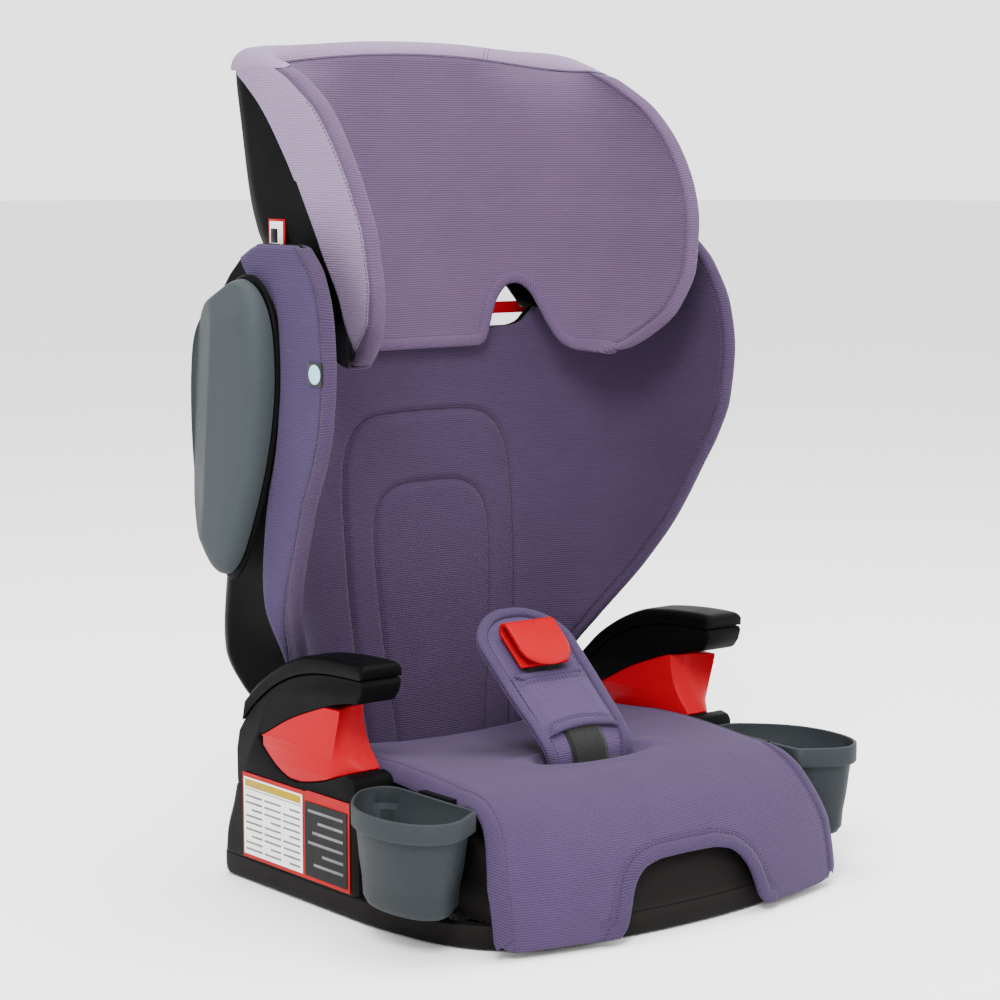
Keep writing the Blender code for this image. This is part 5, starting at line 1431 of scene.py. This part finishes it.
# ======================================================================= armrests
DECK_Z = 0.085
ARM_X_IN = 0.168
ARM_X_OUT = 0.2095
ARM_SEAM = ((0.002, 0.2025), (0.027, 0.202), (0.049, 0.201), (0.073, 0.198), (0.101, 0.191),
            (0.130, 0.178), (0.158, 0.159), (0.176, 0.142))
ARM_TOP = ((0.176, 0.1600), (0.153, 0.1795), (0.123, 0.1970), (0.095, 0.2080), (0.076, 0.2115),
           (0.048, 0.2140), (0.021, 0.2150), (0.004, 0.2145), (-0.0012, 0.2115))
ARM_UNDER = ((0.150, 0.1345), (0.144, 0.1360), (0.111, 0.1525), (0.074, 0.1665), (0.041, 0.1765),
             (0.019, 0.1810))
RED_FOOT = ((0.024, 0.1222), (0.054, 0.1120), (0.082, 0.1055), (0.101, 0.1035), (0.120, 0.1085),
            (0.135, 0.1170), (0.147, 0.1260))
# height, y of the outer fold, y of the waisted front edge
RED_FOLD = ((0.100, 0.052, 0.018), (0.122, 0.048, 0.024), (0.134, 0.044, 0.0345),
            (0.148, 0.040, 0.0430), (0.165, 0.035, 0.0470), (0.190, 0.030, 0.0475))


def make_arm_cap(side, sign):
    """Top cap of an armrest with rounded long edges."""
    seam = [(y, z + GAP) for y, z in smooth_loop(ARM_SEAM, 50, closed=False)]
    top = smooth_loop(ARM_TOP, 60, closed=False)
    width = ARM_X_OUT - ARM_X_IN
    radius = 0.0075
    rings = []
    for across in np.concatenate((radius * (1 - np.cos(np.linspace(0, math.pi / 2, 8))),
                                  width - radius * (1 - np.cos(np.linspace(math.pi / 2, 0, 8))))):
        near = min(across, width - across)
        drop = radius - math.sqrt(max(radius ** 2 - (radius - min(near, radius)) ** 2, 0.0))
        moved = offset_line(top, np.full(len(top), -drop * 0.8))
        x = sign * (ARM_X_IN + across)
        rings.append([(x, y, z) for y, z in list(seam) + [tuple(p) for p in moved]])
    cap = loft(f"arm_cap_{side}", rings, BLACK, 40)
    soften(cap, 0.0006, 2, 50)
    rides(cap, "base", "black_plastic", f"armrest_cap_{side}")


def make_arm_body(side, sign):
    """Rail, rear pillar and arm as one moulding."""
    outline = [(0.0120, DECK_Z + GAP), (0.187, DECK_Z + GAP), (0.1875, 0.115), (0.1835, 0.132)]
    outline += [(y, z - GAP) for y, z in smooth_loop(ARM_SEAM, 40, closed=False)[::-1]]
    outline += [(0.000, 0.1985), (0.0030, 0.1900), (0.0085, 0.1830), (0.0120, 0.1812)]
    outline += [tuple(p) for p in smooth_loop(ARM_UNDER, 30, closed=False)[::-1]]
    outline += [(0.1525, 0.1310)]
    outline += [(y, z - 0.0006) for y, z in smooth_loop(RED_FOOT, 30, closed=False)[::-1]]
    outline += [(0.0150, 0.1195), (0.0120, 0.1150)]
    ends = sorted((sign * (ARM_X_IN + 0.001), sign * (ARM_X_OUT - 0.001)))
    body = prism(f"arm_body_{side}", outline, 'X', ends[0], ends[1], BLACK, 30)
    soften(body, 0.0018, 3, 40)
    rides(body, "base", "black_plastic", f"armrest_body_{side}")


def guide_ends(z):
    """Front and rear y of the guide's side outline at a height."""
    foot = smooth_loop(RED_FOOT, 60, closed=False)
    low = int(foot[:, 1].argmin())
    front = np.interp(z, foot[low::-1, 1], foot[low::-1, 0])
    under = smooth_loop(ARM_UNDER, 60, closed=False)
    if z < 0.1262:
        return front, np.interp(z, foot[low:, 1], foot[low:, 0])
    if z < 0.1330:
        return front, 0.1465
    return front, np.interp(z, under[:, 1], under[:, 0]) - 0.0008


def make_guide(side, sign):
    """Red lap-belt guide that fills the armrest opening, with a waisted, folded front."""
    rings = []
    for z in np.linspace(0.1040, 0.1722, 70):
        fold_y, tip_y = smooth_rows(RED_FOLD, z)[0]
        front, rear = guide_ends(z)
        ring = []
        for x in np.linspace(0.1705, 0.2080, 26):
            outward = max((x - 0.186) / 0.022, 0.0)
            inward = max((0.186 - x) / 0.016, 0.0)
            y = tip_y + (fold_y - tip_y) * outward ** 1.6 + 0.006 * inward ** 1.8
            ring.append((sign * x, min(max(y, front), rear - 0.001), z))
        ring += [(sign * 0.2080, rear, z), (sign * 0.1705, rear, z)]
        rings.append(ring)
    guide = loft(f"lap_guide_{side}", rings, RED, 50)
    soften(guide, 0.0006, 2, 50)
    rides(guide, "base", "red_plastic", f"belt_guide_{side}")


# =========================================================================== base
BASE_HALF_W = 0.208
POCKET_HALF_W = 0.168
POCKET_Y = 0.014
CORNER_R = 0.014             # plan radius of the rear corners
SEAM_Z = 0.021               # top of the lower tray


def base_loop(front_y, middle, rear_y, inset):
    """Closed plan: bowed front, the given middle points, rounded rear corners; shrunk."""
    half = [(x, front_y + FRONT_SWEEP * (x / 0.165) ** 2.2) for x in np.linspace(0, 0.150, 18)]
    half += middle
    half += arc((BASE_HALF_W - CORNER_R, rear_y - CORNER_R), CORNER_R, 0, 90, 10)
    loop = both_sides(half + [(0.10, rear_y), (0.0, rear_y)])
    return offset_line(loop, np.full(len(loop), -inset), closed=True) if inset else loop


def base_plan(front_y, rear_y, inset=0.0):
    """Plan of the upper base, with the cup recesses."""
    side = [(POCKET_HALF_W - 0.006, front_y + FRONT_SWEEP + 0.004),
            (POCKET_HALF_W - 0.0015, front_y + FRONT_SWEEP + 0.010),
            (POCKET_HALF_W, front_y + FRONT_SWEEP + 0.018), (POCKET_HALF_W, POCKET_Y - 0.004),
            (BASE_HALF_W - 0.004, POCKET_Y - 0.001), (BASE_HALF_W, POCKET_Y + 0.003)]
    return base_loop(front_y, side, rear_y, inset)


def make_upper_base():
    """Upper base shell, open below, with the rear notch and the strap slot."""
    rows = ((0.0215, -0.1600, 0.2155), (0.040, -0.1565, 0.2130), (0.066, -0.1450, 0.2030),
            (DECK_Z, -0.1210, 0.1970))
    rings = []
    hollow = []
    levels = list(np.linspace(0.0215, 0.0825, 12)) + [0.0843, DECK_Z]
    for z in levels:
        front_y, rear_y = smooth_rows(rows, z)[0]
        shrink = 0.0012 * max(0.0, (z - 0.0825) / 0.0025)
        rings.append(at_height(base_plan(front_y, rear_y, shrink + 1e-6), z))
        low = z - WALL if z > 0.07 else (z if z > 0.03 else z - 0.01)
        hollow.append(at_height(base_plan(front_y, rear_y, WALL), low))
    # painted light: the black upper shell takes the paler DARK moulding so that its lit front reads
    # lighter
    shell = loft("base_upper_moulding", rings, DARK, 40)
    cut(shell, loft("cut_hollow", hollow, BLACK),
        block("cut_notch", (-0.160, 0.150, 0.050), (0.160, 0.25, 0.12), BLACK),
        block("cut_slot", (-0.030, -0.050, 0.07), (0.030, -0.020, 0.10), BLACK))
    rides(shell, "base", "black_plastic", "base_upper_shell")


def lower_plan(inset):
    """Plan of the lower tray."""
    corner = smooth_loop(((0.150, -0.1384), (0.168, -0.1230), (0.184, -0.1030), (0.1975, -0.0720),
                          (0.2045, -0.0360), (BASE_HALF_W, 0.0)), 26, closed=False)
    return base_loop(-0.1610, [tuple(p) for p in corner[1:]], 0.2165, inset)


def make_lower_base():
    """Lower tray of the base, open in the middle, with recesses for the feet."""
    rows = ((0.0046, 0.0012), (0.0022, 0.0020), (0.0006, 0.0048), (0.0, 0.0100),
            (0.0, SEAM_Z - 0.0010), (0.0008, SEAM_Z))
    tray = loft("base_lower_moulding", [at_height(lower_plan(inset), z) for inset, z in rows],
                DARK, 40)
    middle = [(-0.090, -0.108), (0.090, -0.108), (0.155, -0.060), (0.155, 0.155), (-0.155, 0.155),
              (-0.155, -0.060)]
    tools = [prism("cut_inside", lower_plan(0.010), 'Z', 0.0075, 0.05, DARK),
             prism("cut_middle", middle, 'Z', -0.02, 0.03, DARK)]
    for x, y in ((-0.125, -0.108), (0.125, -0.108), (-0.172, 0.172), (0.172, 0.172)):
        ring = arc((x, y), 0.0124, 0, 345, 23)
        tools.append(prism("cut_foot", ring, 'Z', -0.01, 0.0046, DARK))
    cut(tray, *tools)
    rides(tray, "base", "black_plastic", "base_lower_shell")


# ================================================================ labels and tag
def plate(name, low, high, mat, body, slot_name, *nodes):
    """Thin plate with eased edges, on a side of the object."""
    obj = soften(block(name, low, high, mat), 0.00008, 1)
    return rides(obj, body, slot_name, *nodes)


def make_labels():
    """Generic information sticker: a header block and plain bars, no lettering."""
    face = -BASE_HALF_W - 0.0026
    rows = (("header", 0.0860, 0.0925, 0.0870, 0.1710, YELLOW_FILM),
            ("rule", 0.0838, 0.0846, 0.0870, 0.1710, GREY_FILM))
    for tag, z0, z1, y0, y1, mat in rows:
        plate(f"label_{tag}", (face - 0.0002, y0, z0), (face, y1, z1), mat, "base", "label_white")
    for row in range(9):
        z = 0.0790 - 0.0058 * row
        for column in range(3):
            y = 0.0880 + 0.0285 * column
            width = 0.0250 if (row + column) % 4 else 0.0160
            plate(f"label_bar_{row}_{column}", (face - 0.0002, y, z - 0.0018),
                  (face, y + width, z), GREY_FILM, "base", "label_white")
    for row in range(6):
        z = 0.0840 - 0.0090 * row
        width = (0.050, 0.036, 0.044, 0.050, 0.030, 0.042)[row]
        plate(f"label_dark_bar_{row}", (face - 0.0002, 0.0260, z - 0.0024),
              (face, 0.0260 + width, z), GREY_FILM, "base", "label_white")
    plate("head_label_frame", (-0.1790, 0.1490, 0.5440), (-0.1779, 0.1730, 0.5680), RED_FILM,
          "headrest", "label_white", "headrest_label")
    plate("head_label_face", (-0.1793, 0.1515, 0.5460), (-0.1790, 0.1710, 0.5660), PALE_FILM,
          "headrest", "label_white")
    plate("head_label_mark", (-0.1796, 0.1590, 0.5480), (-0.1793, 0.1690, 0.5600), DARK_FILM,
          "headrest", "label_white")
    make_tag()


def make_tag():
    """Sewn patch on the left wing with a plain round button on it."""
    centre = (0.0400, 0.4475)
    corner = 0.0025
    patch = []
    for cx, cy, start in ((1, 1, 0), (-1, 1, 90), (-1, -1, 180), (1, -1, 270)):
        middle = (centre[0] + cx * (0.0100 - corner), centre[1] + cy * (0.0095 - corner))
        patch += arc(middle, corner, start, start + 90, 5)
    base = soften(prism("tag_patch", patch, 'X', -0.2250, -0.2236, WEBBING), 0.0003, 2)
    spots = np.array([v.co for v in base.data.vertices])
    set_vector(base.data, "weave", spots[:, 1], spots[:, 2], spots[:, 0] * 0)
    rides(base, "backrest", "webbing_black", "wing_tag")
    rows = ((0.0080, -0.2248), (0.0080, -0.2253), (0.0076, -0.2256), (0.0060, -0.2259),
            (0.0030, -0.2261), (0.0006, -0.2262))
    rings = [[(x, *p) for p in arc(centre, radius, 0, 352.5, 47)] for radius, x in rows]
    rides(loft("tag_button", rings, TEAL_FILM, 60), "backrest", "label_white")


# ============================================================ carried-over nodes
KEPT = (
    (BLACK, ("notch_tray", "pivot_bracket_left", "pivot_bracket_right", "cup_bracket_left",
             "cup_bracket_right", "height_rack", "guide_rail_left", "guide_rail_right",
             "hinge_hook_left", "hinge_hook_right", "headrest_carriage")),
    (SLATE, ("handle_housing",)),
    (RED, ("release_handle", "shoulder_guide_left", "shoulder_guide_right")),
    (STEEL, ("pivot_rod", "strap_anchor", "lock_bar", "release_link", "base_screw_front_left",
             "base_screw_front_right", "base_screw_rear_left", "base_screw_rear_right")),
    (RUBBER, ("foot_front_left", "foot_front_right", "foot_rear_left", "foot_rear_right")),
    (PALE_FILM, ("side_label_pale_panel",)),
    (DARK_FILM, ("side_label_dark_panel",)),
    (RED_FILM, ("side_label_backing",)),
)
EASED = ("notch_tray", "cup_bracket_left", "cup_bracket_right", "guide_rail_left",
         "guide_rail_right", "hinge_hook_left", "hinge_hook_right", "headrest_carriage",
         "shoulder_guide_left", "shoulder_guide_right", "lock_bar", "height_rack")


def finish_nodes():
    """Materials and eased edges for the CAD nodes that stay."""
    for mat, names in KEPT:
        for name in names:
            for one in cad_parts[name].material_slots:
                one.material = mat
    for name in EASED:
        bevel(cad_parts[name], 0.0006, 2, 40).harden_normals = True


# ================================================================ camera and light
CAMERA_AT = (-1.4474, -1.7412, 0.6284)
CAMERA_TO = (-0.04167, 0.03302, 0.33269)
CAMERA_LENS = 97.51
BACKDROP = (0.621, 0.784, 0.0)    # direction of the lit backdrop
BACKDROP_LIGHT = 2.6
ROOM_LIGHT = 2.0


def aim(obj, target):
    """Turn a camera or light toward a point."""
    way = Vector(target) - obj.location
    obj.rotation_euler = way.to_track_quat('-Z', 'Y').to_euler()


def area_light(name, place, target, size, power):
    """Rectangular light aimed at a point."""
    data = bpy.data.lights.new(name, 'AREA')
    data.shape = 'RECTANGLE'
    data.size = size[0]
    data.size_y = size[1]
    data.energy = power
    obj = bpy.data.objects.new(name, data)
    bpy.context.scene.collection.objects.link(obj)
    obj.location = place
    aim(obj, target)


def studio_world():
    """Soft room light with a brighter backdrop behind the object."""
    world = bpy.data.worlds.new("studio")
    world.use_nodes = True
    tree = world.node_tree
    back = tree.nodes["Background"]
    back.inputs["Color"].default_value = (1.0, 1.0, 1.0, 1.0)
    place = tree.nodes.new("ShaderNodeTexCoord")
    facing = tree.nodes.new("ShaderNodeVectorMath")
    facing.operation = 'DOT_PRODUCT'
    facing.inputs[1].default_value = BACKDROP
    share = tree.nodes.new("ShaderNodeMapRange")
    share.interpolation_type = 'SMOOTHSTEP'
    for socket, value in ((1, 0.45), (2, 0.90), (3, ROOM_LIGHT), (4, BACKDROP_LIGHT)):
        share.inputs[socket].default_value = value
    tree.links.new(place.outputs["Generated"], facing.inputs[0])
    tree.links.new(facing.outputs["Value"], share.inputs[0])
    tree.links.new(share.outputs[0], back.inputs["Strength"])
    return world


def make_studio():
    """Pale floor, soft light and the camera at the photograph's angle."""
    data = bpy.data.cameras.new("camera")
    data.lens = CAMERA_LENS
    data.sensor_width = 36.0
    camera = bpy.data.objects.new("camera", data)
    bpy.context.scene.collection.objects.link(camera)
    camera.location = CAMERA_AT
    aim(camera, CAMERA_TO)
    bpy.context.scene.camera = camera
    floor_mat = Finish("studio_floor")
    pale = floor_mat.mix(floor_mat.noise(1.2, 2.0), linear(248, 248, 248, 1.0),
                         linear(251, 251, 251, 1.0))
    floor_mat.set(Base_Color=pale, Roughness=0.9, Specular_IOR_Level=0.1)
    ring = arc((0, 0), 30.0, 0, 354, 59)
    floor = prism("floor", ring, 'Z', -0.05, 0.0, floor_mat.mat)
    bpy.context.scene.world = studio_world()
    area_light("key", (-1.7, -1.7, 2.6), (0, 0, 0.35), (1.2, 1.2), 150.0)
    area_light("top", (0.3, 0.2, 3.0), (0, 0, 0.3), (1.6, 1.6), 110.0)
    area_light("fill", (2.2, -1.6, 1.4), (0, 0, 0.3), (1.4, 1.4), 16.0)


make_studio()
make_back()
make_headrest()
make_seat()
make_strap()
make_pods()
make_cups()
for side_name, side_sign in SIDES:
    make_arm_cap(side_name, side_sign)
    make_arm_body(side_name, side_sign)
    make_guide(side_name, side_sign)
make_upper_base()
make_lower_base()
make_labels()
finish_nodes()
